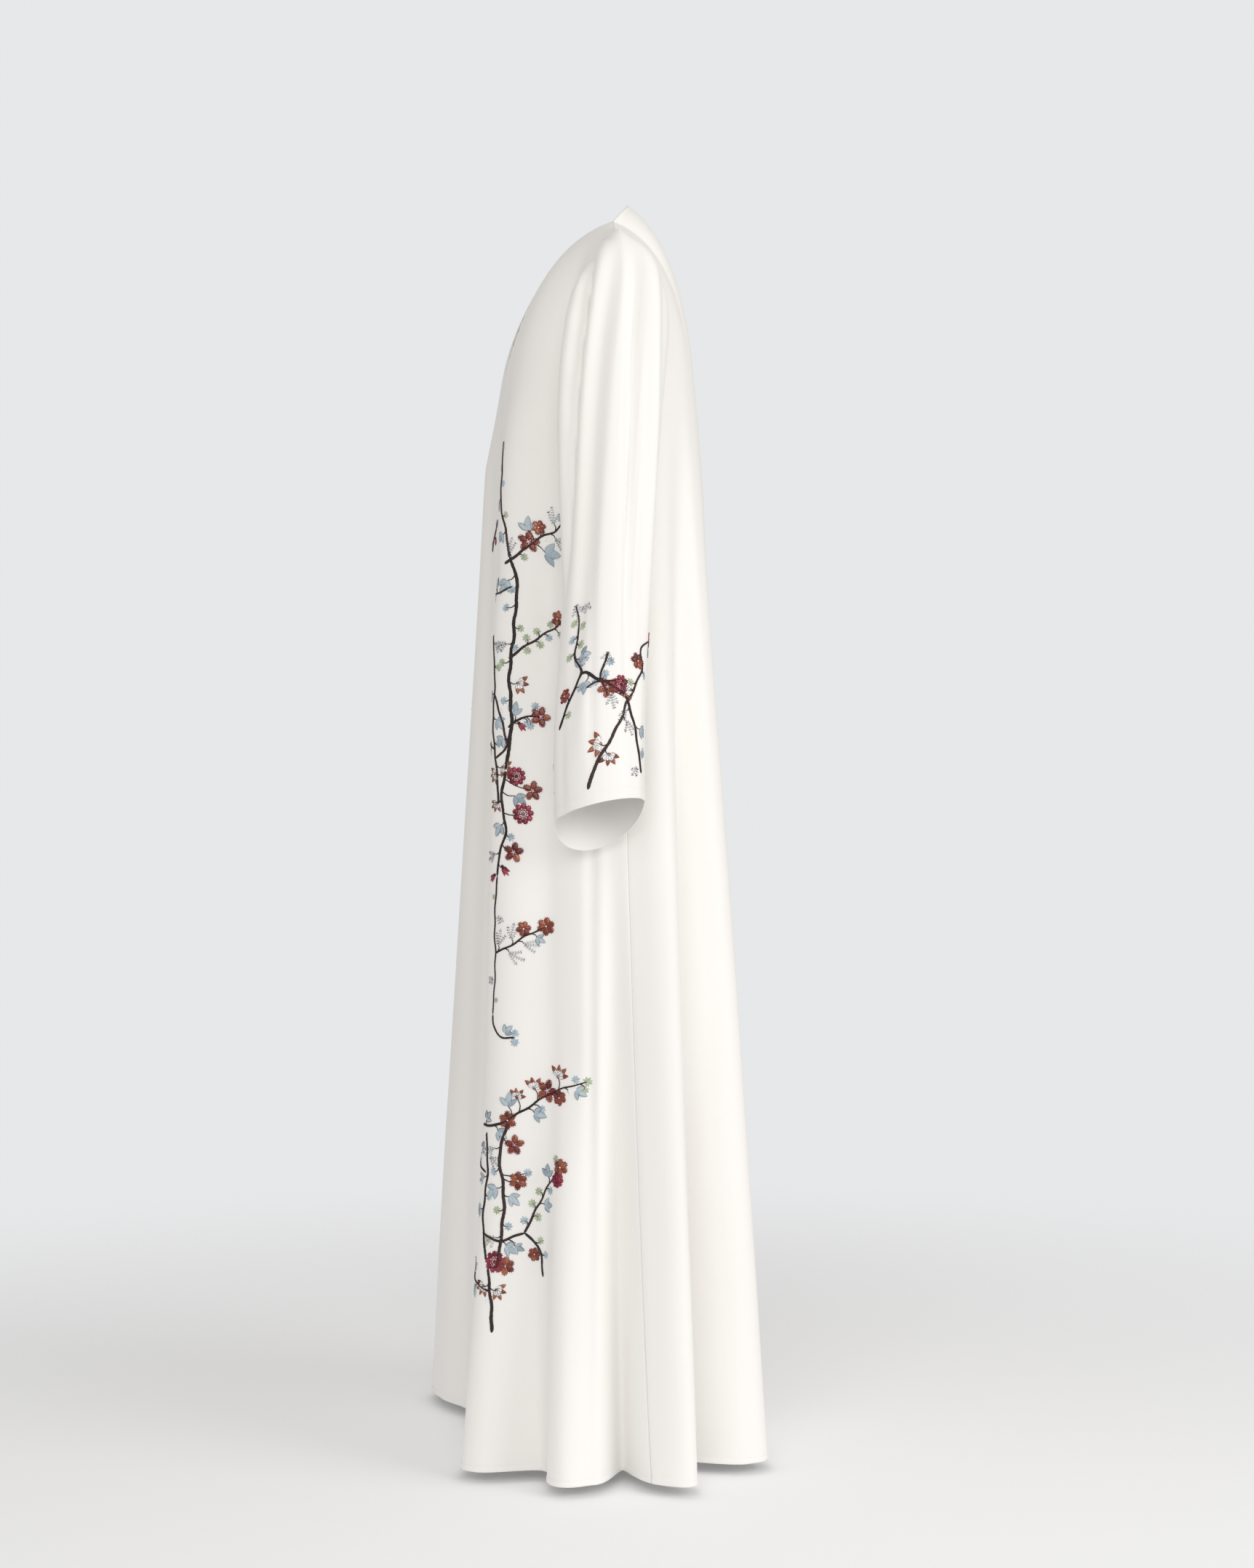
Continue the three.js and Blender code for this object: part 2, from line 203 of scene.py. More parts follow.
# Folds of the body: z of top and end, angle at each, reach outwards, half width in degrees, sideways lean,
# how late the fold grows, and 1 where it fades out again.
BODY_FOLDS = [
    ("bust left", -60, -420, 40, 34, 12, 34, 0, 1, 1),
    ("front fold left", -200, -480, 35, 35, 34, 22, 0, 0.8, 0),
    ("front flute left", -900, HEM_Z, 30, 35, 30, 18, 4, 2.4, 0),
    ("front trough left", -1100, HEM_Z, 46, 46, -18, 12, 0, 1.25, 0),
    ("side flute left", -980, HEM_Z, 62, 66, 46, 16, 0, 1.25, 0),
    ("side crease left", -640, HEM_Z, 84, 83, -44, 8, 0, 1.2, 0),
    ("rear flute left", -320, HEM_Z, 106, 98, 46, 14, 16, 1.2, 0),
    ("back crease left", -190, HEM_Z, 128, 120, -84, 15, 0, 1.2, 0),
    ("back flute left", -240, HEM_Z, 146, 142, 44, 17, -8, 1.15, 0),
    ("centre back trough", -420, HEM_Z, 168, 166, -34, 15, 0, 1.2, 0),
    ("back flute right", -240, HEM_Z, -168, -166, 34, 18, 6, 1, 0),
    ("back crease right", -260, HEM_Z, -136, -140, -52, 13, 0, 1.2, 0),
    ("rear flute right", -420, HEM_Z, -116, -116, 42, 16, -10, 1.2, 0),
    ("side crease right", -560, HEM_Z, -90, -88, -46, 12, 0, 1.2, 0),
    ("bust right", -130, -280, -40, -40, 25, 34, 0, 1, 0),
    ("front flute right", -60, HEM_Z, -38, -50, 81, 26, -4, 1.4, 0),
    ("centre front trough", -230, -560, 0, 0, -11, 22, 0, 1, 0),
    # Too shallow for the frame, from here on.
    ("edge drape left", -240, HEM_Z, 7, 9, -4.5, 6, 0, 1, 0),
    ("edge ridge left", -420, HEM_Z, 17, 19, 5, 6, 0, 1.1, 0),
    ("edge drape right", -300, HEM_Z, -9, -12, -5, 6, 0, 1, 0),
    ("edge ridge right", -360, HEM_Z, -28, -33, 4.5, 6, 0, 1.1, 0),
    ("bust drape left", -190, -620, 58, 52, -3.5, 8, 0, 1, 1),
    ("bust drape left, second", -230, -760, 68, 60, 3, 6, 0, 1, 1),
    ("hip drape left", -520, -1180, 14, 20, -3, 7, 0, 1, 1),
    ("knee drape left", -900, HEM_Z, 57, 56, -5, 5, 0, 1.1, 0),
    ("hem ripple left", -1240, HEM_Z, 16, 15, -7, 6, 0, 1.4, 0),
    ("hem ripple left, second", -1280, HEM_Z, 39, 40, 5, 4, 0, 1.3, 0),
    ("side drape left", -430, -1300, 76, 74, -4, 5, 0, 1, 1),
    ("side ridge left", -760, HEM_Z, 77, 76.5, 6, 4.5, 0, 1.1, 0),
    ("rear drape left", -330, HEM_Z, 112, 108, -5, 4.5, 0, 1, 0),
    ("back drape left", -230, -900, 136, 132, 4, 7, 0, 1, 1),
    ("back drape left, second", -520, HEM_Z, 134, 132, 6, 4, 0, 1.1, 0),
    ("back drape left, third", -330, HEM_Z, 156, 154, -6, 5, 0, 1.1, 0),
    ("back drape centre", -260, -1040, 180, 178, 4, 8, 0, 1, 1),
    ("back drape right", -300, HEM_Z, -150, -153, 6, 5, 0, 1.1, 0),
    ("back drape right, second", -260, -1000, -126, -128, -4, 7, 0, 1, 1),
    ("rear drape right", -520, HEM_Z, -104, -103, -6, 5, 0, 1.1, 0),
    ("side drape right", -420, -1340, -78, -76, 4, 6, 0, 1, 1),
    ("front drape right", -330, -1150, -62, -70, -4, 7, 0, 1, 1),
    ("front drape right, second", -240, -820, -20, -22, -3, 7, 0, 1, 1),
    ("hem ripple right", -1220, HEM_Z, -66, -66, 7, 6, 0, 1.3, 0),
    ("hem ripple right, second", -1260, HEM_Z, -24, -23, -6, 5, 0, 1.3, 0),
]

# Shoulder patches: the step from a column's foot to its first handle, and from its top to its second one.
PATCH_COLUMNS = "at low_x low_y low_z high_x high_y high_z"
FRONT_PATCH = table(
    PATCH_COLUMNS,
    [
        (0, 17, 10, 55, -13, -80, -27),
        (0.35, 6, 8, 66, -9, -66, -12),
        (0.7, 0, 4, 66, -10, -52, -16),
        (1, -4, -64, 12, -22, -55, -40),
    ],
)
BACK_PATCH = table(
    PATCH_COLUMNS,
    [
        (0, 0, -8, 76, 0, 52, -40),
        (0.4, 3, -5, 78, 6, 68, -20),
        (0.7, 2, -2, 70, -4, 60, -24),
        (1, -2, 68, 4, -18, 80, -44),
    ],
)

# Rings of the left sleeve below the armhole: centre, half width, half depth, how much higher the outer side
# is than the centre, and how much lower the inner side and the front are.
SLEEVE_RINGS = [
    {"x": 197, "y": -10, "z": -151, "across": 33, "deep": 57, "rise": 84, "drop": 84, "dip": 0},
    {"x": 212, "y": -20, "z": -256, "across": 39, "deep": 56, "rise": 62, "drop": 62, "dip": 0},
    {"x": 230, "y": -30, "z": -436, "across": 44, "deep": 50, "rise": 36, "drop": 48, "dip": 3},
    {"x": 248, "y": -41, "z": -610, "across": 47, "deep": 52, "rise": 20, "drop": 45, "dip": 7},
    {"x": 258, "y": -42, "z": -706, "across": 50, "deep": 51, "rise": 13, "drop": 43, "dip": 10},
]

# Folds of a sleeve: where it starts and stops in rings from the armhole, its angle round the sleeve at each,
# reach outwards and half width in degrees.
SLEEVE_FOLDS = [
    ("front lobe", 0.3, 3.1, 62, 88, 11, 24),
    ("front groove", 0.1, 3.2, 32, 74, -10, 15),
    ("long trough", 0.3, 4.4, 4, 52, -9, 22),
    ("back ridge", 0.2, 3.8, -24, -70, 9, 20),
    ("back groove", 0.4, 4.4, -4, -34, -7, 13),
    ("inner ridge", 1.2, 4.2, 150, 165, -7, 26),
    # Too shallow for the frame, from here on.
    ("head tuck, front", -0.5, 0.8, 9, 15, -6, 5),
    ("head tuck, back", -0.5, 0.7, -9, -13, -5.5, 5),
    ("head ease", -0.4, 0.5, 0, 0, 3, 6),
    ("front groove's crease", 0.1, 3.4, 33, 75, -4, 4.5),
    ("front lobe's ridge", 0.15, 3.3, 45, 84, 3.2, 5),
    ("lobe's front crease", 0.3, 2.8, 72, 98, -3, 6),
    ("long crease", 0.9, 3.9, -16, -27, -3.2, 6),
    ("long crease's ridge", 0.9, 3.6, -25, -35, 2.2, 7),
    ("front crease", 0.7, 2.9, 48, 66, 2.4, 7),
    ("forearm fold", 2.6, 4.7, 30, 12, -2.6, 10),
    ("elbow fold", 1.9, 3.6, 96, 112, -3.2, 9),
    ("back elbow fold", 1.8, 3.7, -92, -104, -3, 10),
    ("inner crease", 0.8, 3.4, -150, -158, 3, 12),
    ("cuff fold", 3.4, 5.3, 66, 60, -2.4, 13),
    ("cuff fold, back", 3.2, 5.4, -58, -50, 2.2, 14),
]

# ---------------------------------------------------------------- sizes of the finish
WALL = 1.1  # cloth and its inner face
TURNED_DEPTH = {"hem": 6.5, "edge": 6, "neck": 4.5, "cuff": 12.5}  # how far each edge is turned in
TURNED_STEP = {"hem": 0.55, "edge": 0.3, "neck": 0.4, "cuff": 0.5}  # how far each turned edge stands up
STEP_SLOPE = (0.3, 1.4)  # where the step begins and ends, before and past the edge's depth
GROOVE = {"deep": 0.45, "wide": 0.8}  # along a line of stitches
SEAM_DIP = {"deep": 0.35, "wide": 2.4}
PUCKER = {"side": 11, "hem": 13, "edge": 17, "armhole": 9, "cuff": 10}  # spacing of the puckers at each seam
PUCKER_HEIGHT = 0.16
PUCKER_REACH = 9
EDGE_FADE = 30  # how far from an edge the cloth's waver has its full height
WAVER_SEEDS = {"front": 3, "back": 5, "sleeve": 7}
WAVER_WAVES = 9
WAVER_SLOPES = (0.035, 0.035, 0.010)  # the steepest waves along x, y and z, in radians a millimetre
WAVER_HEIGHTS = (0.10, 0.32)
STITCH_SINK = 0.2  # a line of stitches lies this far past its edge's depth
STITCH_ENDS = {"hem": 4, "cuff": 2, "neck": 8}  # how far from a panel's ends each line of stitches stops
STITCH = {"length": 2.1, "pitch": 3.0, "width": 0.45, "height": 0.28, "lift": 0.02}

# ---------------------------------------------------------------- small helpers


def mix(a, b, share):
    return a + (b - a) * share


def smooth_step(value, low, high):
    t = np.clip((value - low) / (high - low), 0, 1)
    return t * t * (3 - 2 * t)


def signed_power(value, power):
    return np.sign(value) * np.abs(value) ** power


def read_table(rows, key, column, place):
    """One column of a table at places between its rows, as a smooth curve through the rows."""
    keys, values = rows[key], rows[column]
    rising = 1 if keys[1] > keys[0] else -1
    place = np.asarray(place, float)
    i = np.clip(np.searchsorted(rising * keys, rising * place) - 1, 0, len(keys) - 2)
    before, after = np.maximum(i - 1, 0), np.minimum(i + 2, len(keys) - 1)
    span = keys[i + 1] - keys[i]
    t = np.clip((place - keys[i]) / span, 0, 1)
    slope_a = (values[i + 1] - values[before]) / (keys[i + 1] - keys[before]) * span
    slope_b = (values[after] - values[i]) / (keys[after] - keys[i]) * span
    t2, t3 = t * t, t * t * t
    start = (2 * t3 - 3 * t2 + 1) * values[i] + (t3 - 2 * t2 + t) * slope_a
    return start + (3 * t2 - 2 * t3) * values[i + 1] + (t3 - t2) * slope_b


def cubic_through(p0, p1, p2, p3, t):
    """A smooth curve through four points, from the second at t = 0 to the third at t = 1."""
    square, cube = (2 * p0 - 5 * p1 + 4 * p2 - p3) * t**2, (3 * p1 - p0 - 3 * p2 + p3) * t**3
    return 0.5 * (2 * p1 + (p2 - p0) * t + square + cube)


def bump(offset):
    """1 on a fold's crest, falling smoothly to 0 at its half width."""
    return np.where(np.abs(offset) < 1, 0.5 * (1 + np.cos(np.pi * offset)), 0)


def turn_between(start, end):
    """The shorter turn from one angle to another, in degrees."""
    return np.mod(end - start + 540, 360) - 180


def unit(vectors):
    return vectors / np.maximum(np.linalg.norm(vectors, axis=-1, keepdims=True), 1e-9)


def stack(x, y, z):
    return np.stack(np.broadcast_arrays(x, y, z), -1).astype(float)


# ---------------------------------------------------------------- the body's surface
def section(column, z):
    return read_table(SECTIONS, "z", column, z)


def plain_ring(angle, z):
    """The body without its folds, at angles in degrees from the front."""
    at_back = np.abs(angle) > 90
    reach = np.where(at_back, section("back", z), section("front", z))
    square = np.where(at_back, section("back_square", z), section("front_square", z))
    s, c = np.sin(np.radians(angle)), np.cos(np.radians(angle))
    x = section("half", z) * signed_power(s, 2 / square)
    y = section("side", z) - reach * signed_power(c, 2 / square)
    return stack(x, y, z)


def body_point(angle, z):
    point = plain_ring(angle, z)
    along = unit(plain_ring(angle + 0.5, z) - plain_ring(angle - 0.5, z))
    outward = stack(along[..., 1], -along[..., 0], 0)
    for _, top, end, start, stop, reach, width, lean, ease, fades in BODY_FOLDS:
        share = np.clip((top - z) / (top - end), 0, 1)
        strength = np.sin(np.pi * share) if fades else share**ease
        offset = turn_between(mix(start, stop, share), angle) / width
        height = (strength * bump(offset))[..., None]
        point = point + outward * reach * height + along * lean * height
    return point


def shoulder_seam(share):
    neck_end = np.array([NECK["half_width"], 0.0, 0.0])
    return mix(neck_end, SHOULDER_TIP, np.asarray(share)[..., None])


def back_top(at):
    """The top of a back column: the neck curve, then the shoulder seam."""
    turn = (np.pi / 2) * np.clip(at / NECK_SHARE, 0, 1)
    neck = stack(
        NECK["half_width"] * np.sin(turn),
        NECK["back_reach"] * np.cos(turn),
        NECK["back_rise"] * np.cos(turn),
    )
    seam = shoulder_seam(np.clip((at - NECK_SHARE) / (1 - NECK_SHARE), 0, 1))
    return np.where((at >= NECK_SHARE)[..., None], seam, neck)


def patch_point(rows, foot, top, at, up, side):
    """A point of a shoulder patch, which climbs from its foot (up = 0) as a cubic curve."""

    def step(name):
        return stack(*(read_table(rows, "at", f"{name}_{axis}", at) for axis in "xyz"))

    mirror = stack(side, np.ones_like(at), np.ones_like(at))
    foot = foot * mirror
    low, high = foot + step("low"), top + step("high")
    t = up[..., None]
    rest = 1 - t
    point = rest**3 * foot + 3 * rest**2 * t * low + 3 * rest * t**2 * high + t**3 * top
    return point * mirror


def front_point(side, at, level):
    """level runs from 0 at the hem to 1 at the patch's foot and 2 at the shoulder seam."""
    foot_z = mix(V_NECK_Z, UNDERARM_Z, at * at)
    below = body_point(side * 90 * at, mix(HEM_Z, foot_z, np.minimum(level, 1)))
    up = np.clip(level - 1, 0, 1)
    point = patch_point(FRONT_PATCH, below, shoulder_seam(at), at, up, side * np.ones_like(at))
    opening = mix(FRONT_OPENING["at_hem"], FRONT_OPENING["at_bust"], np.clip(level, 0, 1))
    point[..., 0] += side * opening * (1 - at) * np.clip(2 - level, 0, 1)
    return point


def back_point(across, level):
    side, at = np.where(across < 0, -1.0, 1.0), np.abs(across)
    foot_z = mix(BACK_PATCH_Z, UNDERARM_Z, at * at)
    below = body_point(side * (180 - 90 * at), mix(HEM_Z, foot_z, np.minimum(level, 1)))
    return patch_point(BACK_PATCH, below, back_top(at), at, np.clip(level - 1, 0, 1), side)


# ---------------------------------------------------------------- grids
# Rows of a shoulder patch, from its foot at 1 to the seam at 2, where they are closely set.
PATCH_LEVELS = np.concatenate([1 + np.arange(1, 40) / 40, [1.985, 1.992, 2.0]])
HEM_STEPS = [0, 1.5, 3.5, 5.3, 6.1, 6.9, 7.7, 9.5, 14]  # closely set rows above the hem
CLOTH_STEP = 8.5  # height of a plain row
BODY_HEIGHT = V_NECK_Z - HEM_Z
# Closely set columns by a panel's edges: millimetres from the edge, over the width that they are a share of.
FRONT_EDGE_COLUMNS = np.array([0, 1.6, 3.6, 4.5, 5.4, 7.2]) / 230
SIDE_EDGE_COLUMNS = np.array([5.5, 3.4, 2.0, 0.9, 0]) / 260
BACK_EDGE_COLUMNS = np.array([0, 0.9, 2.0, 3.4, 5.5]) / 300
PLAIN_COLUMNS = {"front": 66, "back": 128}
# Closely set rows of a sleeve, in rings: from the armhole on, and millimetres from the cuff over the last
# ring's height.
ARMHOLE_ROWS = [0, 0.012, 0.03, 0.06, 0.1]
CUFF_ROWS = np.array([26, 15, 13.6, 12.9, 12.2, 11, 5, 1.5, 0]) / 97
# Between them, the rings where the spacing of the plain rows changes, and how many rows each stretch has.
SPACING_RINGS = (1, 4)
PLAIN_ROWS = (12, 60, 11)


def body_levels():
    plain = np.arange(HEM_STEPS[-1] + CLOTH_STEP, BODY_HEIGHT, CLOTH_STEP)
    below = np.concatenate([HEM_STEPS, plain]) / BODY_HEIGHT
    return np.concatenate([below, [1.0], PATCH_LEVELS])


LEVELS = body_levels()
FOOT_ROW = int(np.argmin(np.abs(LEVELS - 1)))
EASED_BELOW, EASED_ABOVE, EASING_PASSES = 5, 7, 14  # rows below and above the foot


def ease_foot(grid):
    """Takes the slight kink out of the rows round the patch's foot."""
    band = range(FOOT_ROW - EASED_BELOW, FOOT_ROW + EASED_ABOVE)
    for _ in range(EASING_PASSES):
        eased = grid.copy()
        for j in band:
            eased[j] = 0.5 * grid[j] + 0.25 * (grid[j - 1] + grid[j + 1])
        grid = eased
    return grid


def grid_normals(grid, is_tube):
    """Unit normals of a grid of points, pointing away from the garment's inside."""
    up = np.gradient(grid, axis=0)
    if is_tube:
        along = np.roll(grid, -1, axis=1) - np.roll(grid, 1, axis=1)
    else:
        along = np.gradient(grid, axis=1)
    return unit(np.cross(along, up))


def distance_from_first(grid, axis):
    """How far each point lies from the grid's first row or column, along the cloth."""
    steps = np.linalg.norm(np.diff(grid, axis=axis), axis=-1)
    total = np.cumsum(steps, axis=axis)
    edge = np.zeros_like(np.take(total, [0], axis=axis))
    return np.concatenate([edge, total], axis=axis)


def edge_distances(grid):
    """How far each point lies from the grid's foot, its top, its first column and its last one."""
    up, across = distance_from_first(grid, 0), distance_from_first(grid, 1)
    return up, up[-1] - up, across, across[:, [-1]] - across


def turned_edge(distance, edge):
    """Relief of a turned and stitched edge: a step at its depth with the stitch line's small groove."""
    depth = TURNED_DEPTH[edge]
    step = TURNED_STEP[edge] * (1 - smooth_step(distance, depth - STEP_SLOPE[0], depth + STEP_SLOPE[1]))
    return step - GROOVE["deep"] * np.exp(-(((distance - depth - STITCH_SINK) / GROOVE["wide"]) ** 2))


def seam_dip(distance):
    return -SEAM_DIP["deep"] * np.exp(-((distance / SEAM_DIP["wide"]) ** 2))


def seam_pucker(distance, along, seam):
    height = PUCKER_HEIGHT * np.exp(-distance / PUCKER_REACH)
    return height * np.sin(2 * np.pi * along / PUCKER[seam])


def cloth_waver(grid, seed, *edges):
    """A slight unevenness that keeps the cloth from looking drawn with a ruler. It fades out towards edges,
    given as every point's distance from each."""
    waver = np.zeros(grid.shape[:-1])
    local = random.Random(seed)
    for _ in range(WAVER_WAVES):
        wave = np.array([local.uniform(-slope, slope) for slope in WAVER_SLOPES])
        waver += local.uniform(*WAVER_HEIGHTS) * np.sin(grid @ wave + local.uniform(0, FULL_TURN))
    for distance in edges:
        waver *= smooth_step(distance, 0, EDGE_FADE)
    return waver


# ---------------------------------------------------------------- materials
def new_material(name, color, roughness, **inputs):
    material = bpy.data.materials.new(name)
    material.use_nodes = True
    shader = shader_of(material)
    shader.inputs["Base Color"].default_value = (*color, 1)
    shader.inputs["Roughness"].default_value = roughness
    for key, value in inputs.items():
        shader.inputs[key.replace("_", " ")].default_value = value
    return material


def shader_of(material):
    return material.node_tree.nodes["Principled BSDF"]


def add_node(material, kind, **settings):
    node = material.node_tree.nodes.new(kind)
    for key, value in settings.items():
        if key in node.inputs:
            node.inputs[key].default_value = value
        else:
            setattr(node, key, value)
    return node


def connect(material, start, output, end, input_name):
    material.node_tree.links.new(start.outputs[output], end.inputs[input_name])


def add_noise(material, scale, detail=2.0, stretch=(1, 1, 1), roughness=0.5):
    """Noise that stays on the object, with so many features a metre."""
    place = add_node(material, "ShaderNodeTexCoord")
    mapping = add_node(material, "ShaderNodeMapping")
    mapping.inputs["Scale"].default_value = stretch
    noise = add_node(material, "ShaderNodeTexNoise", Scale=scale, Detail=detail, Roughness=roughness)
    connect(material, place, "Object", mapping, "Vector")
    connect(material, mapping, "Vector", noise, "Vector")
    return noise


def add_range(material, source, output, limits, **settings):
    """Maps a value from between the first two limits to between the last two."""
    spread = add_node(material, "ShaderNodeMapRange", **settings)
    for name, value in zip(("From Min", "From Max", "To Min", "To Max"), limits):
        spread.inputs[name].default_value = value
    connect(material, source, output, spread, "Value")
    return spread


def add_ramp(material, source, output, stops):
    ramp = add_node(material, "ShaderNodeValToRGB")
    elements = ramp.color_ramp.elements
    while len(elements) < len(stops):
        elements.new(0.5)
    for element, (place, color) in zip(elements, stops):
        element.position = place
        element.color = (*color, 1)
    connect(material, source, output, ramp, "Fac")
    return ramp


def add_bumps(material, layers):
    """Chained bumps, each as (texture node, output, strength, distance in metres)."""
    last = None
    for node, output, strength, distance in layers:
        bump_node = add_node(material, "ShaderNodeBump", Strength=strength, Distance=distance)
        connect(material, node, output, bump_node, "Height")
        if last:
            connect(material, last, "Normal", bump_node, "Normal")
        last = bump_node
    connect(material, last, "Normal", shader_of(material), "Normal")


def crepe_material():
    material = new_material(
        "crepe", (0.93, 0.915, 0.89), 0.56, Sheen_Weight=0.25, Sheen_Roughness=0.45, Specular_IOR_Level=0.32
    )
    shader = shader_of(material)
    tone = add_noise(material, 7, 3, (1, 1, 0.4))
    ramp = add_ramp(material, tone, "Fac", [(0.3, (0.915, 0.897, 0.868)), (0.7, (0.945, 0.932, 0.91))])
    connect(material, ramp, "Color", shader, "Base Color")
    gloss = add_range(material, add_noise(material, 24, 2, (1, 1, 0.3)), "Fac", (0, 1, 0.5, 0.63))
    connect(material, gloss, "Result", shader, "Roughness")
    grain = add_noise(material, 1500, 2, (1, 1, 0.55), 0.7)
    pebble = add_node(material, "ShaderNodeTexVoronoi", Scale=950.0)
    place = add_node(material, "ShaderNodeTexCoord")
    connect(material, place, "Object", pebble, "Vector")
    drape = add_noise(material, 11, 1.5, (1.6, 1.6, 0.22))
    layers = [(drape, "Fac", 0.22, 0.006), (pebble, "Distance", 0.10, 0.00022), (grain, "Fac", 0.22, 0.00018)]
    add_bumps(material, layers)
    return material


def stitch_material():
    material = new_material("crepe_thread", (0.9, 0.885, 0.86), 0.5, Sheen_Weight=0.2)
    add_bumps(material, [(add_noise(material, 2600, 1), "Fac", 0.3, 0.0001)])
    return material


def thread_material(name, dark, light, roughness, sheen):
    """Stitched thread: its tone changes from island to island and along the fibres."""
    material = new_material(
        name, light, roughness, Sheen_Weight=sheen, Sheen_Roughness=0.4, Specular_IOR_Level=0.3
    )
    shader = shader_of(material)
    island = add_node(material, "ShaderNodeNewGeometry")
    fibre = add_noise(material, 1800, 2, (1, 1, 0.6))
    blend = add_node(material, "ShaderNodeMath", operation="MULTIPLY_ADD")
    blend.inputs[1].default_value = 0.45
    connect(material, island, "Random Per Island", blend, 0)
    connect(material, fibre, "Fac", blend, 2)
    ramp = add_ramp(material, blend, "Value", [(0.3, dark), (0.9, light)])
    connect(material, ramp, "Color", shader, "Base Color")
    add_bumps(material, [(fibre, "Fac", 0.5, 0.00025)])
    return material


def bead_material(name, tones, roughness, metallic, coat):
    """Glass or lacquered beads, each a little different in tone."""
    material = new_material(
        name, tones[1], roughness, Metallic=metallic, Coat_Weight=coat, Coat_Roughness=0.12
    )
    shader = shader_of(material)
    island = add_node(material, "ShaderNodeNewGeometry")
    stops = [(i / (len(tones) - 1), tone) for i, tone in enumerate(tones)]
    ramp = add_ramp(material, island, "Random Per Island", stops)
    connect(material, ramp, "Color", shader, "Base Color")
    add_bumps(material, [(add_noise(material, 1400, 1), "Fac", 0.25, 0.0002)])
    return material


# Stitched threads: name, darkest and lightest tone, roughness, sheen.
THREADS = [
    ("twig_thread", (0.008, 0.005, 0.006), (0.045, 0.026, 0.026), 0.5, 0),
    ("blue_thread", (0.2, 0.28, 0.34), (0.52, 0.62, 0.68), 0.5, 0.2),
    ("green_thread", (0.27, 0.34, 0.21), (0.55, 0.61, 0.45), 0.5, 0.2),
]
COPPER_TONES = [(0.07, 0.014, 0.009), (0.25, 0.058, 0.025), (0.4, 0.14, 0.065), (0.13, 0.02, 0.012)]
CRIMSON_TONES = [(0.09, 0.004, 0.014), (0.27, 0.008, 0.04), (0.4, 0.04, 0.085), (0.16, 0.005, 0.024)]
GREY_TONES = [(0.05, 0.055, 0.07), (0.3, 0.32, 0.36), (0.55, 0.57, 0.6), (0.14, 0.15, 0.18)]
CLEAR_TONES = [(0.86, 0.85, 0.83), (0.96, 0.95, 0.94), (0.9, 0.9, 0.92)]
# Beads: name, tones, roughness, how metallic, weight of the clear coat.
BEADS = [
    ("copper_beads", COPPER_TONES, 0.3, 0.25, 0.15),
    ("crimson_beads", CRIMSON_TONES, 0.28, 0.05, 0.15),
    ("grey_beads", GREY_TONES, 0.24, 0.1, 0.15),
    ("clear_sequins", CLEAR_TONES, 0.14, 0.05, 0.6),
]
MATERIALS = {"crepe": crepe_material(), "crepe_thread": stitch_material()}
MATERIALS.update((row[0], thread_material(*row)) for row in THREADS)
MATERIALS.update((row[0], bead_material(*row)) for row in BEADS)


# ---------------------------------------------------------------- making pieces
def make_piece(name, points, faces, finish, slot):
    """A mesh object from points in millimetres, riding on the garment's one body."""
    mesh = bpy.data.meshes.new(name)
    mesh.from_pydata((np.asarray(points) * MM).tolist(), [], faces)
    mesh.polygons.foreach_set("use_smooth", [True] * len(mesh.polygons))
    mesh.materials.append(MATERIALS[finish])
    mesh.update()
    piece = bpy.data.objects.new(name, mesh)
    bpy.context.scene.collection.objects.link(piece)
    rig.ride(piece, "root")
    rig.slot(piece, slot)
    return piece


def shell_faces(rows, columns, is_tube):
    """Faces of a closed wall: an outer grid, the same grid further in, and the rims that join them."""
    wrap = columns if is_tube else columns - 1
    j, i = np.meshgrid(np.arange(rows - 1), np.arange(wrap), indexing="ij")
    right = (i + 1) % columns
    a, b = j * columns + i, j * columns + right
    c, d = (j + 1) * columns + right, (j + 1) * columns + i
    outer = np.stack([a, b, c, d], -1).reshape(-1, 4)
    shift = rows * columns
    inner = outer[:, ::-1] + shift
    i = np.arange(wrap)
    right = (i + 1) % columns
    low = np.stack([i, i + shift, right + shift, right], -1)
    base = (rows - 1) * columns
    high = np.stack([base + i, base + right, base + right + shift, base + i + shift], -1)
    parts = [outer, inner, low, high]
    if not is_tube:
        j = np.arange(rows - 1) * columns
        above = j + columns
        parts.append(np.stack([j, above, above + shift, j + shift], -1))
        j, above = j + columns - 1, above + columns - 1
        parts.append(np.stack([j, j + shift, above + shift, above], -1))
    return np.concatenate(parts)


def make_cloth(node, grid, normals, is_tube):
    """The cloth that stands for a node of the frame."""
    inner = grid - normals * WALL
    points = np.concatenate([grid.reshape(-1, 3), inner.reshape(-1, 3)])
    faces = shell_faces(*grid.shape[:2], is_tube)
    piece = make_piece(f"cloth_{node}", points, faces.tolist(), "crepe", "crepe")
    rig.replaces(piece, node)
    return piece


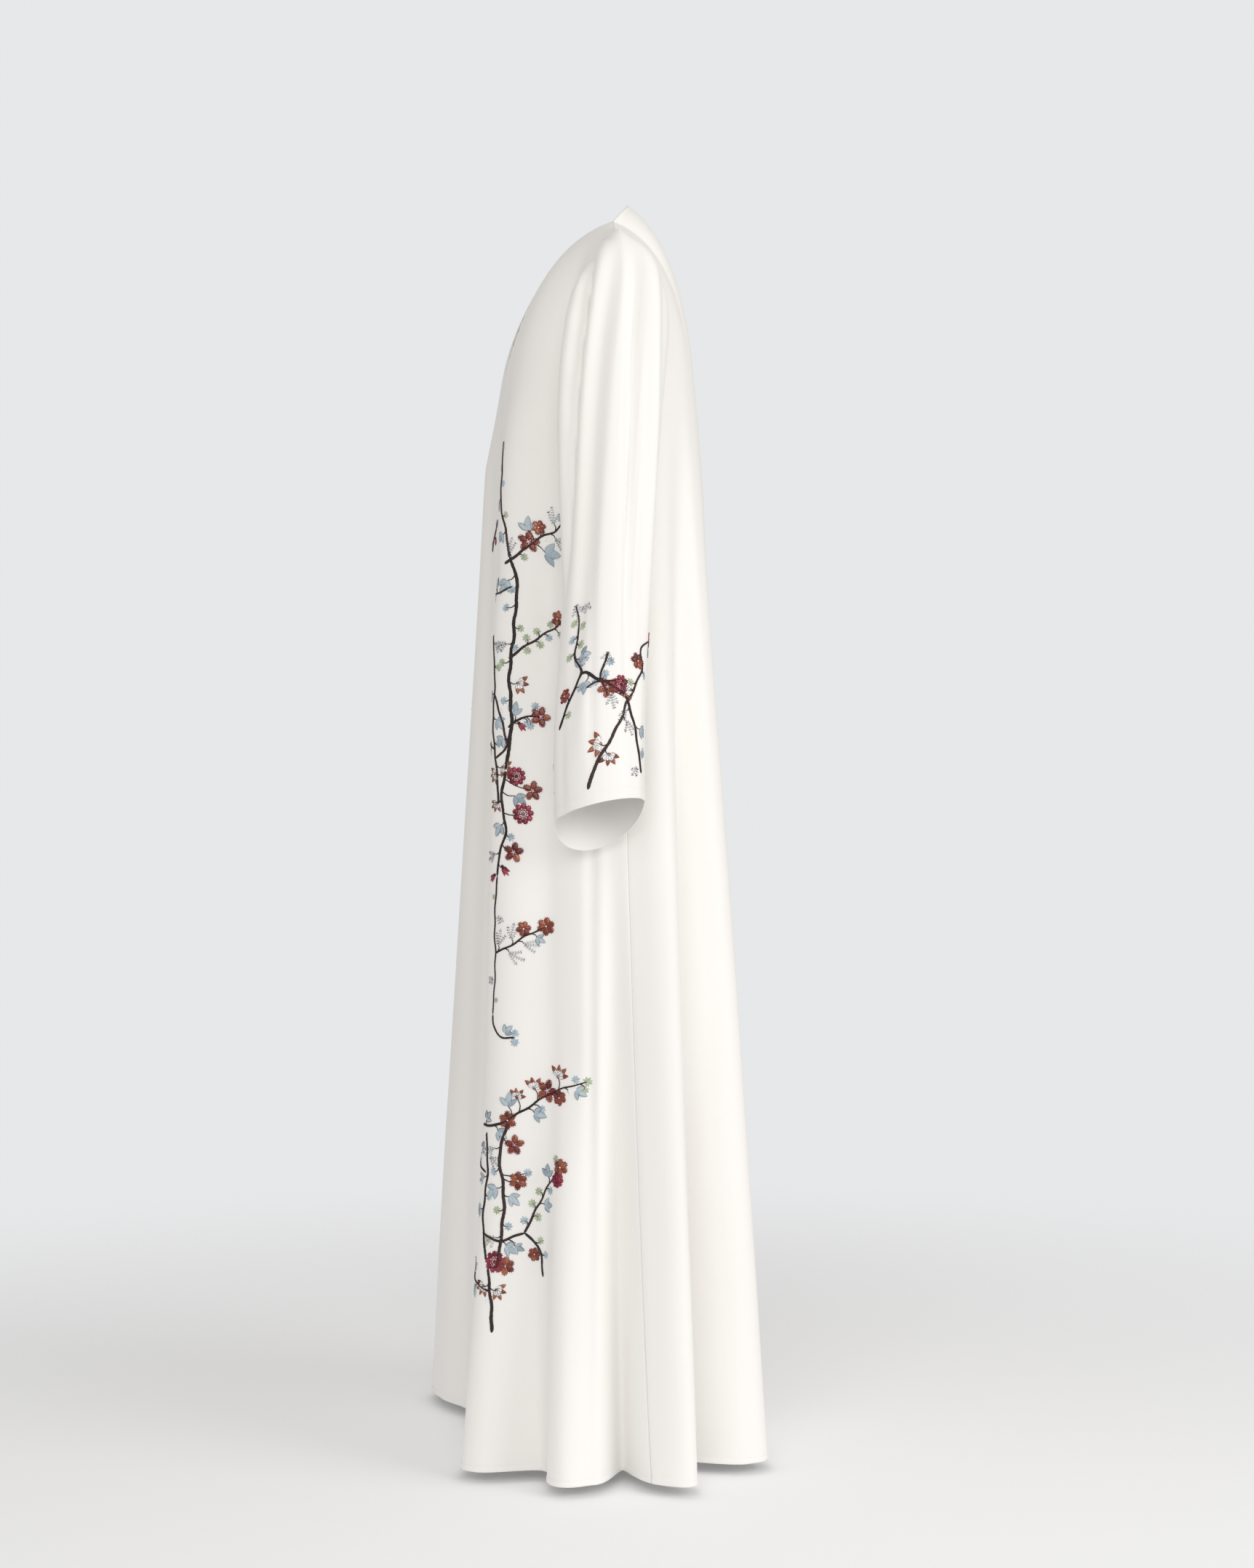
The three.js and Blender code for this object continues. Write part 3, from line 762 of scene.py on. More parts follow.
# ---------------------------------------------------------------- the cloth panels
class Canvas:
    """A finished panel as a flat drawing surface. x runs along its rows from a zero column, and y is the
    height of the row, so that what is drawn on it follows the cloth."""

    def __init__(self, grid, normals, row_heights, zero_column, sign):
        """sign is -1 where the drawing's x runs against the order of the grid's columns."""
        self.grid, self.normals, self.sign = grid, normals, sign
        across = distance_from_first(grid, 1)
        self.across = across - across[:, [zero_column]]
        self.heights = np.asarray(row_heights, float)

    def width_at_hem(self):
        return self.across[0, -1] - self.across[0, 0]

    def place(self, drawing):
        """3-D points of drawn points (x, y, height above the cloth)."""
        x, y, height = drawing.T
        x = x * self.sign
        row = np.clip(np.searchsorted(self.heights, y) - 1, 0, len(self.heights) - 2)
        share_y = np.clip((y - self.heights[row]) / (self.heights[row + 1] - self.heights[row]), 0, 1)
        points, normals = np.zeros((len(x), 3)), np.zeros((len(x), 3))
        for which, weight in ((row, 1 - share_y), (row + 1, share_y)):
            lines = self.across[which]
            column = np.clip((lines < x[:, None]).sum(axis=1) - 1, 0, lines.shape[1] - 2)
            index = np.arange(len(x))
            low, high = lines[index, column], lines[index, column + 1]
            share_x = ((x - low) / (high - low))[:, None]
            for shift, part in ((0, 1 - share_x), (1, share_x)):
                points += weight[:, None] * part * self.grid[which, column + shift]
                normals += weight[:, None] * part * self.normals[which, column + shift]
        return points + unit(normals) * height[:, None]


def make_body_panel(node, grid, relief, height_column):
    """A front or back with its relief raised, and the heights of its rows at one column."""
    grid = grid + grid_normals(grid, False) * relief[..., None]
    normals = grid_normals(grid, False)
    return make_cloth(node, grid, normals, False), grid, normals, grid[:, height_column, 2].copy()


def front_panel(side, word):
    edge, far_edge = FRONT_EDGE_COLUMNS, 1 - SIDE_EDGE_COLUMNS
    plain = np.linspace(edge[-1], far_edge[0], PLAIN_COLUMNS["front"])[1:-1]
    places = np.concatenate([edge, plain, far_edge])
    at, level = np.meshgrid(places, LEVELS)
    if side < 0:
        at = at[:, ::-1]
    grid = ease_foot(front_point(side, at, level))
    up, from_top, to_first, to_last = edge_distances(grid)
    to_front, to_side = (to_first, to_last) if side > 0 else (to_last, to_first)
    is_neck = smooth_step(level, 0.98, 1.04)
    relief = mix(turned_edge(to_front, "edge"), turned_edge(to_front, "neck"), is_neck)
    relief += turned_edge(up, "hem")
    relief += seam_dip(to_side) + seam_dip(from_top) * (level > 1.5)
    relief += seam_pucker(to_side, up, "side") + seam_pucker(to_front, up, "edge")
    relief += seam_pucker(up, to_first, "hem")
    relief += cloth_waver(grid, WAVER_SEEDS["front"], to_side, from_top)
    return make_body_panel(f"front_{word}", grid, relief, 0 if side > 0 else -1)


def back_panel():
    edge = BACK_EDGE_COLUMNS
    plain = np.linspace(-1 + edge[-1], 1 - edge[-1], PLAIN_COLUMNS["back"])[1:-1]
    places = np.concatenate([-1 + edge, plain, (1 - edge)[::-1]])
    across, level = np.meshgrid(places[::-1], LEVELS)
    grid = ease_foot(back_point(across, level))
    up, from_top, left, right = edge_distances(grid)
    on_neck = smooth_step(NECK_SHARE - np.abs(across), -0.01, 0.01)
    relief = turned_edge(up, "hem") + seam_dip(left) + seam_dip(right)
    top = mix(seam_dip(from_top), turned_edge(from_top, "neck"), on_neck)
    relief += top * (level > 1.5)
    relief += seam_pucker(left, up, "side") + seam_pucker(right, up, "side") + seam_pucker(up, left, "hem")
    relief += cloth_waver(grid, WAVER_SEEDS["back"], left, right, from_top)
    return make_body_panel("back", grid, relief, grid.shape[1] // 2)


def sleeve_station(index, rounds, armhole):
    if index <= 0:
        return armhole
    ring = SLEEVE_RINGS[min(index, len(SLEEVE_RINGS)) - 1]
    c, s = np.cos(np.radians(rounds)), np.sin(np.radians(rounds))
    height = np.where(c > 0, ring["rise"], ring["drop"]) * c - ring["dip"] * s
    return stack(ring["x"] + ring["across"] * c, ring["y"] - ring["deep"] * s, ring["z"] + height)


def sleeve_rows(rounds, alongs, armhole):
    """Rows of a left sleeve's points, at places that count rings from 0 at the armhole."""
    last = len(SLEEVE_RINGS)
    rows = []
    for along in alongs:
        i = min(last - 1, int(along))
        p0, p1, p2, p3 = (sleeve_station(min(last, max(0, k)), rounds, armhole) for k in range(i - 1, i + 3))
        if i == 0:
            p0 = mix(p1, p2, -0.6)
            p0[:, 2] -= SLEEVE_HEAD_RISE * np.maximum(0, np.cos(np.radians(rounds))) ** 2
        point = cubic_through(p0, p1, p2, p3, along - i)
        outward = stack(np.cos(np.radians(rounds)), -np.sin(np.radians(rounds)), 0)
        for _, start, stop, angle, end_angle, reach, width in SLEEVE_FOLDS:
            share = np.clip((along - start) / (stop - start), 0, 1)
            offset = turn_between(mix(angle, end_angle, share), rounds) / width
            strength = np.sin(np.pi * share) * smooth_step(along, -0.01, 0.12)
            point = point + outward * (reach * strength * bump(offset))[:, None]
        rows.append(point)
    return np.array(rows)


def sleeve_panel(side, word, front_edge, back_edge):
    """front_edge and back_edge are the armhole's points from the underarm up to the shoulder tip."""
    mirror = np.array([side, 1, 1])
    steps = np.concatenate([[1.0], PATCH_LEVELS])
    rounds = np.concatenate([180 * (2 - steps[::-1]), 360 - 180 * (2 - steps[1:-1])])
    armhole = np.concatenate([front_edge[::-1], back_edge[1:-1]]) * mirror
    cuff = len(SLEEVE_RINGS) - CUFF_ROWS
    stops = (ARMHOLE_ROWS[-1], *SPACING_RINGS, cuff[0])
    plain = [np.linspace(start, stop, count)[1:] for start, stop, count in zip(stops, stops[1:], PLAIN_ROWS)]
    alongs = np.concatenate([ARMHOLE_ROWS, *plain, cuff[1:]])
    grid = sleeve_rows(rounds, alongs, armhole)[::-1]
    normals = -grid_normals(grid, True)
    up, from_top, around, _ = edge_distances(grid)
    relief = turned_edge(up, "cuff") + seam_dip(from_top)
    relief += seam_pucker(from_top, around, "armhole")
    relief += seam_pucker(np.abs(up - TURNED_DEPTH["cuff"]), around, "cuff")
    relief += cloth_waver(grid, WAVER_SEEDS["sleeve"], from_top)
    grid = (grid + normals * relief[..., None]) * mirror
    normals = normals * mirror
    if side > 0:
        grid, normals = grid[:, ::-1], normals[:, ::-1]
    return make_cloth(f"sleeve_{word}", grid, normals, True), grid, normals


PANELS = {}
for word, side in SIDES:
    PANELS["front_" + word] = front_panel(side, word)
PANELS["back"] = back_panel()
for word, side in SIDES:
    front_column, back_column = (-1, 0) if side > 0 else (0, -1)
    front_edge = PANELS["front_" + word][1][FOOT_ROW:, front_column]
    back_edge = PANELS["back"][1][FOOT_ROW:, back_column]
    PANELS["sleeve_" + word] = sleeve_panel(side, word, front_edge, back_edge)

# ---------------------------------------------------------------- embroidery: plain shapes
class Stitching:
    """What is drawn on one canvas in one finish: canvas points (x, y, height) and their faces."""

    def __init__(self):
        self.points, self.faces, self.count = [], [], 0

    def add(self, points, *face_arrays):
        self.points.append(np.reshape(points, (-1, 3)))
        for faces in face_arrays:
            self.faces.extend((faces + self.count).tolist())
        self.count += len(self.points[-1])

    def add_grid(self, points):
        """A patch from a grid of points, its rows running forwards and its columns to the right."""
        rows, columns = points.shape[:2]
        j, i = np.meshgrid(np.arange(rows - 1), np.arange(columns - 1), indexing="ij")
        a = (j * columns + i).ravel()
        self.add(points, np.stack([a, a + 1, a + columns + 1, a + columns], -1))


DOME_RINGS = [(1.0, 0.0), (0.92, 0.5), (0.58, 0.88)]  # radius and height as shares of the bead's
THREAD_RIB = 0.16


def add_beads(stitching, centres, radius, height, sides=7):
    """Domes standing on the cloth, one at each centre."""
    centres = np.atleast_2d(np.asarray(centres, float))
    turns = 2 * np.pi * np.arange(sides) / sides
    rings = [stack(r * radius * np.cos(turns), r * radius * np.sin(turns), h * height) for r, h in DOME_RINGS]
    bead = np.concatenate([*rings, [[0, 0, height]]])
    spread = np.array([dice.uniform(0.85, 1.12) for _ in centres])[:, None, None]
    points = bead[None] * spread
    points[..., :2] += centres[:, None, :2]
    i = np.arange(sides)
    right = (i + 1) % sides
    walls = [np.stack([i, right, right + sides, i + sides], -1) + k * sides for k in range(2)]
    top = np.stack([i + 2 * sides, right + 2 * sides, np.full(sides, 3 * sides)], -1)
    shifts = (np.arange(len(centres)) * len(bead))[:, None, None]
    quads = (np.concatenate(walls)[None] + shifts).reshape(-1, 4)
    tips = (top[None] + shifts).reshape(-1, 3)
    stitching.add(points, quads, tips)


def forward(heading):
    return np.array([math.cos(heading), math.sin(heading)])


def thread_ribs(count):
    """Heights of rows of threads, where every second one lies lower."""
    return 1 + THREAD_RIB * np.where(np.arange(count) % 2 == 0, 1, -1)


def add_leaf(stitching, foot, heading, length, width, height, rows=9, blunt=0.75):
    """A domed leaf or petal with a sunk vein and slanting stitches, from its foot along its heading."""
    u = np.linspace(0, 1, rows)[:, None]
    s = np.linspace(-1, 1, 5)[None]
    half = 0.5 * width * (0.04 + np.sin(np.pi * np.clip(u, 0, 1) ** blunt) ** 0.8)
    ahead = length * (u - 0.14 * np.abs(s) * np.sin(np.pi * u))
    section = height * (1 - 0.95 * s**2) * np.where(s == 0, 0.72, 1)
    rise = section * thread_ribs(rows)[:, None] * np.sin(np.pi * (0.08 + 0.84 * u)) ** 0.5
    direction = forward(heading)
    right = np.array([direction[1], -direction[0]])
    flat = np.asarray(foot) + ahead[..., None] * direction + (half * s)[..., None] * right
    stitching.add_grid(np.concatenate([flat, rise[..., None]], -1))


CURVE_STEPS = 16  # steps between two given points, before they are evened out
SWAY_LENGTH = 5.3  # a path's wobble turns by one radian over this length


def smooth_path(points, step, wobble=0.0):
    """A smooth curve through a few points, at even steps, with a slight hand-drawn wobble."""
    points = np.asarray(points, float)
    padded = np.concatenate([[2 * points[0] - points[1]], points, [2 * points[-1] - points[-2]]])
    curve = []
    t = np.linspace(0, 1, CURVE_STEPS, endpoint=False)[:, None]
    for i in range(len(points) - 1):
        curve.append(cubic_through(*padded[i : i + 4], t))
    curve = np.concatenate([*curve, [points[-1]]])
    lengths = np.concatenate([[0], np.cumsum(np.linalg.norm(np.diff(curve, axis=0), axis=1))])
    count = max(3, int(lengths[-1] / step) + 1)
    at = np.linspace(0, lengths[-1], count)
    path = np.stack([np.interp(at, lengths, curve[:, k]) for k in range(2)], -1)
    phase = dice.uniform(0, FULL_TURN)
    sway = wobble * np.sin(at / SWAY_LENGTH + phase) * np.sin(np.pi * at / lengths[-1])
    return path + sway[:, None] * path_sides(path)


def path_sides(path):
    """Unit vectors to the right of a path."""
    ahead = unit(np.gradient(path, axis=0))
    return np.stack([ahead[:, 1], -ahead[:, 0]], -1)


RIDGE_ACROSS = np.array([-1, -0.62, 0, 0.62, 1])
RIDGE_RISE = np.array([0, 0.72, 1, 0.72, 0])


def add_ridge(stitching, path, widths, height, slant=0.5, roughness=0.12):
    """A satin-stitched cord along a path: a half-round ridge with slanting threads and uneven edges."""
    count = len(path)
    half = 0.5 * np.interp(np.linspace(0, 1, count), np.linspace(0, 1, len(widths)), widths)
    uneven = np.array([dice.uniform(1 - roughness, 1 + roughness) for _ in range(count)])
    ends = np.minimum(1, np.minimum(np.arange(count), np.arange(count)[::-1]) * 0.5 + 0.3)
    right = path_sides(path)
    ahead = np.stack([-right[:, 1], right[:, 0]], -1)
    across = (half * uneven * ends)[:, None] * RIDGE_ACROSS
    flat = path[:, None] + across[..., None] * right[:, None] + slant * across[..., None] * ahead[:, None]
    rise = height * (thread_ribs(count) * ends)[:, None] * RIDGE_RISE
    stitching.add_grid(np.concatenate([flat, rise[..., None]], -1))


# ---------------------------------------------------------------- embroidery: motifs
# Each motif is drawn on a garden, which holds one Stitching for each finish. "size" is about its reach.
BEAD = 0.92


def ring_places(centre, radius_a, radius_b, heading, count, start=0.0):
    turns = start + 2 * np.pi * np.arange(count) / count
    ahead, right = forward(heading), forward(heading - math.pi / 2)
    loop = radius_a * np.cos(turns)[:, None] * ahead + radius_b * np.sin(turns)[:, None] * right
    return np.asarray(centre) + loop


def petal_turns(heading, count, unevenness):
    """Headings of petals spread round a flower, each drawn a little off its even place."""
    for k in range(count):
        yield heading + 2 * math.pi * (k + dice.uniform(-unevenness, unevenness)) / count


def beaded_flower(garden, place, size, heading):
    """Five stitched petals, each with a darker loop of beads round two more, about a beaded heart."""
    finish, heart = "copper_beads", "crimson_beads"
    for turn in petal_turns(heading, 5, 0.12):
        middle = place + forward(turn) * 0.62 * size
        foot = place + forward(turn) * 0.15 * size
        add_leaf(garden[finish], foot, turn, 0.85 * size, 0.62 * size, 0.8, 7, 1.1)
        a, b = 0.38 * size, 0.30 * size
        count = max(6, int(math.pi * (a + b) / (2.02 * BEAD)))
        add_beads(garden[heart], ring_places(middle, a, b, turn, count), BEAD * 0.8, 1.5)
        inside = [middle + forward(turn) * shift * size for shift in (-0.12, 0.1)]
        add_beads(garden[finish], inside, BEAD * 1.05, 1.25)
    add_beads(garden[heart], ring_places(place, 0.17 * size, 0.17 * size, heading, 5), BEAD, 1.9)
    add_beads(garden["clear_sequins"], place, BEAD * 0.9, 2.2)


def round_flower(garden, place, size, heading):
    """A full round flower: scalloped rim petals under closely set rings of beads."""
    petals, beads = 9, garden["crimson_beads"]
    for k in range(petals):
        turn = heading + 2 * math.pi * k / petals
        foot = place + forward(turn) * 0.42 * size
        add_leaf(beads, foot, turn, 0.6 * size, 0.52 * size, 1.0, rows=7, blunt=1.25)
        edge = place + forward(turn) * 0.8 * size
        arc = ring_places(edge, 0.2 * size, 0.22 * size, turn, 7)[[5, 6, 0, 1, 2]]
        add_beads(beads, arc, BEAD * 0.75, 1.5)
    for share, rise in ((0.56, 1.6), (0.36, 2.0), (0.17, 2.3)):
        count = int(2 * math.pi * share * size / (2.1 * BEAD))
        add_beads(beads, ring_places(place, share * size, share * size, heading, count), BEAD, rise)
    add_beads(beads, place, BEAD * 1.2, 2.6)


def rust_flower(garden, place, size, heading):
    """A small round flower of stitched petals edged with beads, with a glint at its heart."""
    for turn in petal_turns(heading, 6, 0.1):
        add_leaf(garden["copper_beads"], place, turn, size, 0.74 * size, 1.1, rows=7, blunt=1.3)
        tip = place + forward(turn) * 0.72 * size
        arc = ring_places(tip, 0.26 * size, 0.3 * size, turn, 8)[[6, 7, 0, 1, 2]]
        add_beads(garden["crimson_beads"], arc, BEAD * 0.7, 1.4)
    heart = ring_places(place, 0.3 * size, 0.3 * size, heading, 6)
    add_beads(garden["crimson_beads"], heart, BEAD * 0.85, 1.9)
    add_beads(garden["clear_sequins"], place, BEAD * 1.1, 2.1)


def white_blossom(garden, place, size, heading):
    """Open white petals with dark dots along them and a rust drop at each tip."""
    for k, spread in enumerate((-1.15, -0.4, 0.35, 1.1)):
        turn = heading + spread + dice.uniform(-0.1, 0.1)
        length = size * (0.78 + 0.12 * (k % 2))
        add_leaf(garden["clear_sequins"], place, turn, length, 0.42 * size, 1.1, blunt=1.1)
        dots = [place + forward(turn) * length * share for share in (0.3, 0.5, 0.7)]
        add_beads(garden["twig_thread"], dots, 0.5, 1.8, sides=5)
        for side in (-1, 1):
            shares = (0.18, 0.34, 0.5, 0.66, 0.82)
            rim = [(share, side * 0.25 * size * math.sin(math.pi * share)) for share in shares]
            edge = [place + forward(turn) * length * u + forward(turn - math.pi / 2) * v for u, v in rim]
            add_beads(garden["grey_beads"], edge, 0.55, 1.2, sides=5)
        drop = place + forward(turn) * length * 0.62
        add_leaf(garden["copper_beads"], drop, turn, 0.62 * size, 0.44 * size, 1.6, 8)
    add_beads(garden["copper_beads"], ring_places(place, 1.3, 1.3, heading, 4), BEAD, 1.7)


def bud(garden, place, size, heading):
    """Three closed petals in a cup of twig thread."""
    for spread, reach in ((-0.42, 1.05), (0.42, 1.05), (0.0, 1.25)):
        add_leaf(garden["crimson_beads"], place, heading + spread, size * reach, 0.5 * size, 1.3, 8)
    cup = place - forward(heading) * 0.35 * size
    add_leaf(garden["twig_thread"], cup, heading, 0.7 * size, 0.45 * size, 1.6, 5)


def leaf_sprig(garden, place, size, heading):
    """Three leaves, each filled with slanting stitches inside a corded outline."""
    for spread, share in ((-0.85, 0.8), (0.85, 0.8), (0.0, 1.0)):
        turn = heading + spread + dice.uniform(-0.12, 0.12)
        length, width = size * share, 0.46 * size * share
        add_leaf(garden["blue_thread"], place, turn, length, width, 0.9)
        u = np.linspace(0.02, 0.98, 9)
        half = 0.52 * width * np.sin(np.pi * u**0.75) ** 0.8
        direction, right = forward(turn), forward(turn - math.pi / 2)
        for side in (-1, 1):
            edge = place + (length * u)[:, None] * direction + side * half[:, None] * right
            add_ridge(garden["grey_beads"], edge, (0.5, 0.5), 0.95, slant=0, roughness=0.2)


def rosette(finish, garden, place, size, heading):
    """A small round of radial stitches about a knot."""
    for turn in petal_turns(heading, 8, 0.15):
        add_leaf(garden[finish], place, turn, size, 0.5 * size, 0.75, rows=4, blunt=1.4)
    add_beads(garden[finish], place, 0.8, 1.3, sides=6)


def bead_spray(garden, place, size, heading):
    """Fine stalks with small beads set in pairs along them."""
    for spread, share in ((-0.55, 0.8), (0.0, 1.0), (0.5, 0.75)):
        turn = heading + spread
        length = size * share
        bend = forward(turn + 0.5 * math.copysign(1, dice.uniform(-1, 1))) * length * 0.2
        middle, tip = place + forward(turn) * length * 0.55, place + forward(turn) * length + bend
        path = smooth_path([place, middle, tip], 1.5)
        add_ridge(garden["grey_beads"], path, (0.5, 0.4), 0.5, roughness=0.2)
        side = path_sides(path)
        for i in range(1, len(path), 2):
            pair = [path[i] + side[i] * 1.35, path[i] - side[i] * 1.35]
            add_beads(garden["grey_beads"], pair, 0.62, 1.15, sides=6)
        add_beads(garden["grey_beads"], path[-1], 0.85, 1.3, sides=6)


def sequin_cluster(garden, place, size, heading):
    """Three sequins, each held by a bead."""
    for k in range(3):
        spot = place + forward(heading + 2.1 * k) * size * 0.45
        add_beads(garden["clear_sequins"], spot, 1.55, 0.55, sides=9)
        add_beads(garden["clear_sequins"], spot, 0.5, 1.0, sides=6)


MOTIFS = {
    "copper": beaded_flower,
    "crimson": round_flower,
    "rust": rust_flower,
    "white": white_blossom,
    "bud": bud,
    "leaves": leaf_sprig,
    "green": functools.partial(rosette, "green_thread"),
    "blue": functools.partial(rosette, "blue_thread"),
    "spray": bead_spray,
    "sequins": sequin_cluster,
}

# ---------------------------------------------------------------- embroidery: branches
# Each branch has a name, its width at both ends, its route and what grows on it. On a front the route's x is
# the distance outwards from the crest of the front's long fold and y the height; on a sleeve x is the
# distance from the outside line towards the front and y the height above the cuff. A growth is (share of the
# route, reach to the right of it, or left where negative, kind, size).
FRONT_BRANCHES = [
    ("crown", 2.0, 3.8, [(4, -266), (12, -302), (14, -338), (26, -372), (30, -404)],
     [(0.0, 0, "spray", 11.8), (0.22, 6, "green", 4.9), (0.36, -6, "blue", 4.7), (0.5, 7, "spray", 13),
      (0.66, -7, "green", 4.9), (0.8, 8, "leaves", 14.5)]),
    ("main stem", 4.0, 4.6, [(30, -404), (41, -435), (43, -487), (38, -543), (42, -597), (36, -654)],
     [(0.1, 13, "leaves", 19.8), (0.16, 6, "blue", 5.6), (0.24, 13, "blue", 5.6),
      (0.34, -8, "green", 5.2), (0.42, 8, "spray", 14.2), (0.5, 12, "green", 5.6),
      (0.6, -11, "white", 12), (0.68, 9, "blue", 5.6), (0.78, -9, "bud", 9), (0.86, 8, "leaves", 14.5)]),
    ("high spray", 3.8, 1.8, [(22, -412), (44, -398), (66, -380), (88, -368), (108, -350)],
     [(0.14, -8, "spray", 15.3), (0.26, 7, "green", 5.4), (0.42, -4, "copper", 13),
      (0.48, 17, "leaves", 22.4), (0.5, -15, "leaves", 17.2), (0.6, -10, "rust", 9),
      (0.62, 6, "sequins", 5), (0.72, 8, "spray", 16.5), (0.8, -8, "spray", 16.5),
      (0.92, -6, "blue", 5.2), (0.94, 7, "spray", 14.2)]),
    ("middle spray", 3.4, 1.6, [(37, -523), (58, -506), (82, -489), (112, -469)],
     [(0.16, -6, "blue", 5.6), (0.26, 6, "green", 5.6), (0.34, -7, "green", 5.6),
      (0.44, 7, "green", 5.6), (0.52, -7, "green", 5.4), (0.6, 7, "blue", 5.4), (0.7, -6, "green", 5.2),
      (0.76, 8, "spray", 14.2), (0.86, -7, "rust", 10), (0.93, -3, "sequins", 5), (1.0, 5, "white", 10)]),
    ("third spray", 3.2, 1.8, [(38, -604), (54, -591), (76, -589)],
     [(0.35, -8, "leaves", 15.8), (0.6, 8, "blue", 5.6), (0.72, 12, "blue", 5.2),
      (0.86, -12, "blue", 5.6), (1.0, 0, "copper", 12)]),
    ("edge stem", 2.6, 3.4, [(6, -496), (15, -550), (12, -599), (22, -651), (27, -693)],
     [(0.06, -7, "spray", 13), (0.2, -9, "green", 5.6), (0.36, 7, "spray", 14.2),
      (0.5, -9, "leaves", 15.8), (0.66, -8, "blue", 5.6), (0.8, -10, "white", 11)]),
    ("tie", 3.0, 3.2, [(14, -564), (25, -585), (38, -625)],
     [(0.4, -5, "sequins", 4.5)]),
    ("second tie", 3.2, 2.4, [(20, -641), (33, -631), (41, -608)],
     []),
    ("flower stem", 4.2, 2.8, [(36, -654), (31, -689), (38, -722), (30, -755), (28, -778)],
     [(0.04, -14, "crimson", 11), (0.06, 14, "white", 12), (0.12, -36, "copper", 11.5),
      (0.24, -19, "leaves", 15.8), (0.3, 8, "white", 10), (0.44, -24, "crimson", 12.5),
      (0.5, 7, "leaves", 15.8), (0.62, -7, "blue", 5.6), (0.74, -17, "copper", 12),
      (0.8, 8, "spray", 14.2), (0.92, -7, "bud", 10), (1.0, 5, "bud", 9)]),
    ("fine line", 2.2, 1.5, [(28, -778), (26, -830), (29, -882), (27, -939)],
     [(0.16, 4, "green", 3.8), (0.3, -4, "spray", 8.3), (0.74, 4, "spray", 8.3), (0.9, -4, "green", 3.6)]),
    ("low spray", 2.8, 1.6, [(28, -868), (46, -859), (68, -845), (90, -833)],
     [(0.12, -7, "spray", 15.3), (0.26, 7, "spray", 16.5), (0.4, -7, "spray", 15.3),
      (0.52, 8, "spray", 15.3), (0.64, -8, "rust", 9), (0.78, 7, "leaves", 11.9), (1.0, 0, "rust", 11)]),
    ("curl", 2.0, 2.4, [(27, -939), (29, -953), (42, -964), (58, -964)],
     [(0.76, -6, "leaves", 13.2), (1.0, 5, "blue", 6), (1.0, -5, "blue", 5.4)]),
    ("fan", 3.6, 1.6, [(12, -1068), (34, -1067), (56, -1057), (84, -1038), (110, -1022), (150, -1007)],
     [(0.06, -7, "leaves", 13.2), (0.18, 8, "leaves", 14.5), (0.28, 0, "rust", 11),
      (0.34, -14, "leaves", 17.2), (0.42, -17, "white", 10), (0.48, 9, "leaves", 15.8),
      (0.54, 11, "blue", 6), (0.58, -14, "white", 12), (0.66, -5, "copper", 13), (0.74, 9, "rust", 9),
      (0.78, -14, "white", 13), (0.84, 7, "sequins", 5), (0.9, 6, "leaves", 14.5),
      (0.92, -6, "blue", 5.6), (1.0, 0, "green", 6.3), (0.97, 8, "green", 5.4)]),
    ("lower stem", 4.2, 4.0, [(54, -1061), (44, -1099), (51, -1149), (48, -1201), (44, -1230)],
     [(0.14, -16, "copper", 11.5), (0.2, 10, "spray", 15.3), (0.34, 9, "blue", 5.6),
      (0.42, -18, "rust", 11), (0.4, -31, "blue", 5.8), (0.46, 9, "leaves", 17.2),
      (0.52, -8, "leaves", 15.8), (0.62, 9, "green", 5.6), (0.72, -8, "blue", 5.6),
      (0.8, 8, "spray", 14.2), (0.96, 3, "crimson", 12.5)]),
    ("side stem", 3.0, 3.6, [(22, -1076), (27, -1122), (22, -1171), (30, -1221)],
     [(0.08, 6, "spray", 14.2), (0.2, -6, "spray", 15.3), (0.36, 7, "spray", 14.2),
      (0.5, -7, "blue", 5.6), (0.62, 7, "leaves", 14.5), (0.84, -6, "green", 5.4)]),
    ("crossing", 3.2, 3.0, [(24, -1192), (46, -1198), (76, -1188)],
     [(0.55, 7, "leaves", 15.8), (0.7, 12, "leaves", 11.9)]),
    ("reach", 3.2, 1.6, [(76, -1188), (90, -1159), (106, -1130), (126, -1109)],
     [(0.14, -7, "blue", 5.6), (0.26, 7, "green", 5.8), (0.36, -7, "green", 5.8),
      (0.46, 7, "leaves", 14.5), (0.56, -7, "green", 5.6), (0.66, 7, "blue", 5.6),
      (0.76, -8, "leaves", 14.5), (0.88, 6, "crimson", 8.5), (1.0, -2, "rust", 10),
      (1.0, -14, "green", 5.6)]),
    ("drop", 3.2, 2.8, [(76, -1188), (95, -1205), (102, -1236)],
     [(0.35, -8, "green", 5.4), (0.5, 9, "rust", 8), (0.6, -7, "blue", 5.2)]),
    ("root", 3.4, 4.6, [(33, -1230), (38, -1263), (42, -1303)],
     [(0.0, -22, "rust", 11), (0.3, 8, "white", 11), (0.36, -9, "white", 11), (0.5, 5, "sequins", 4.5)]),
]

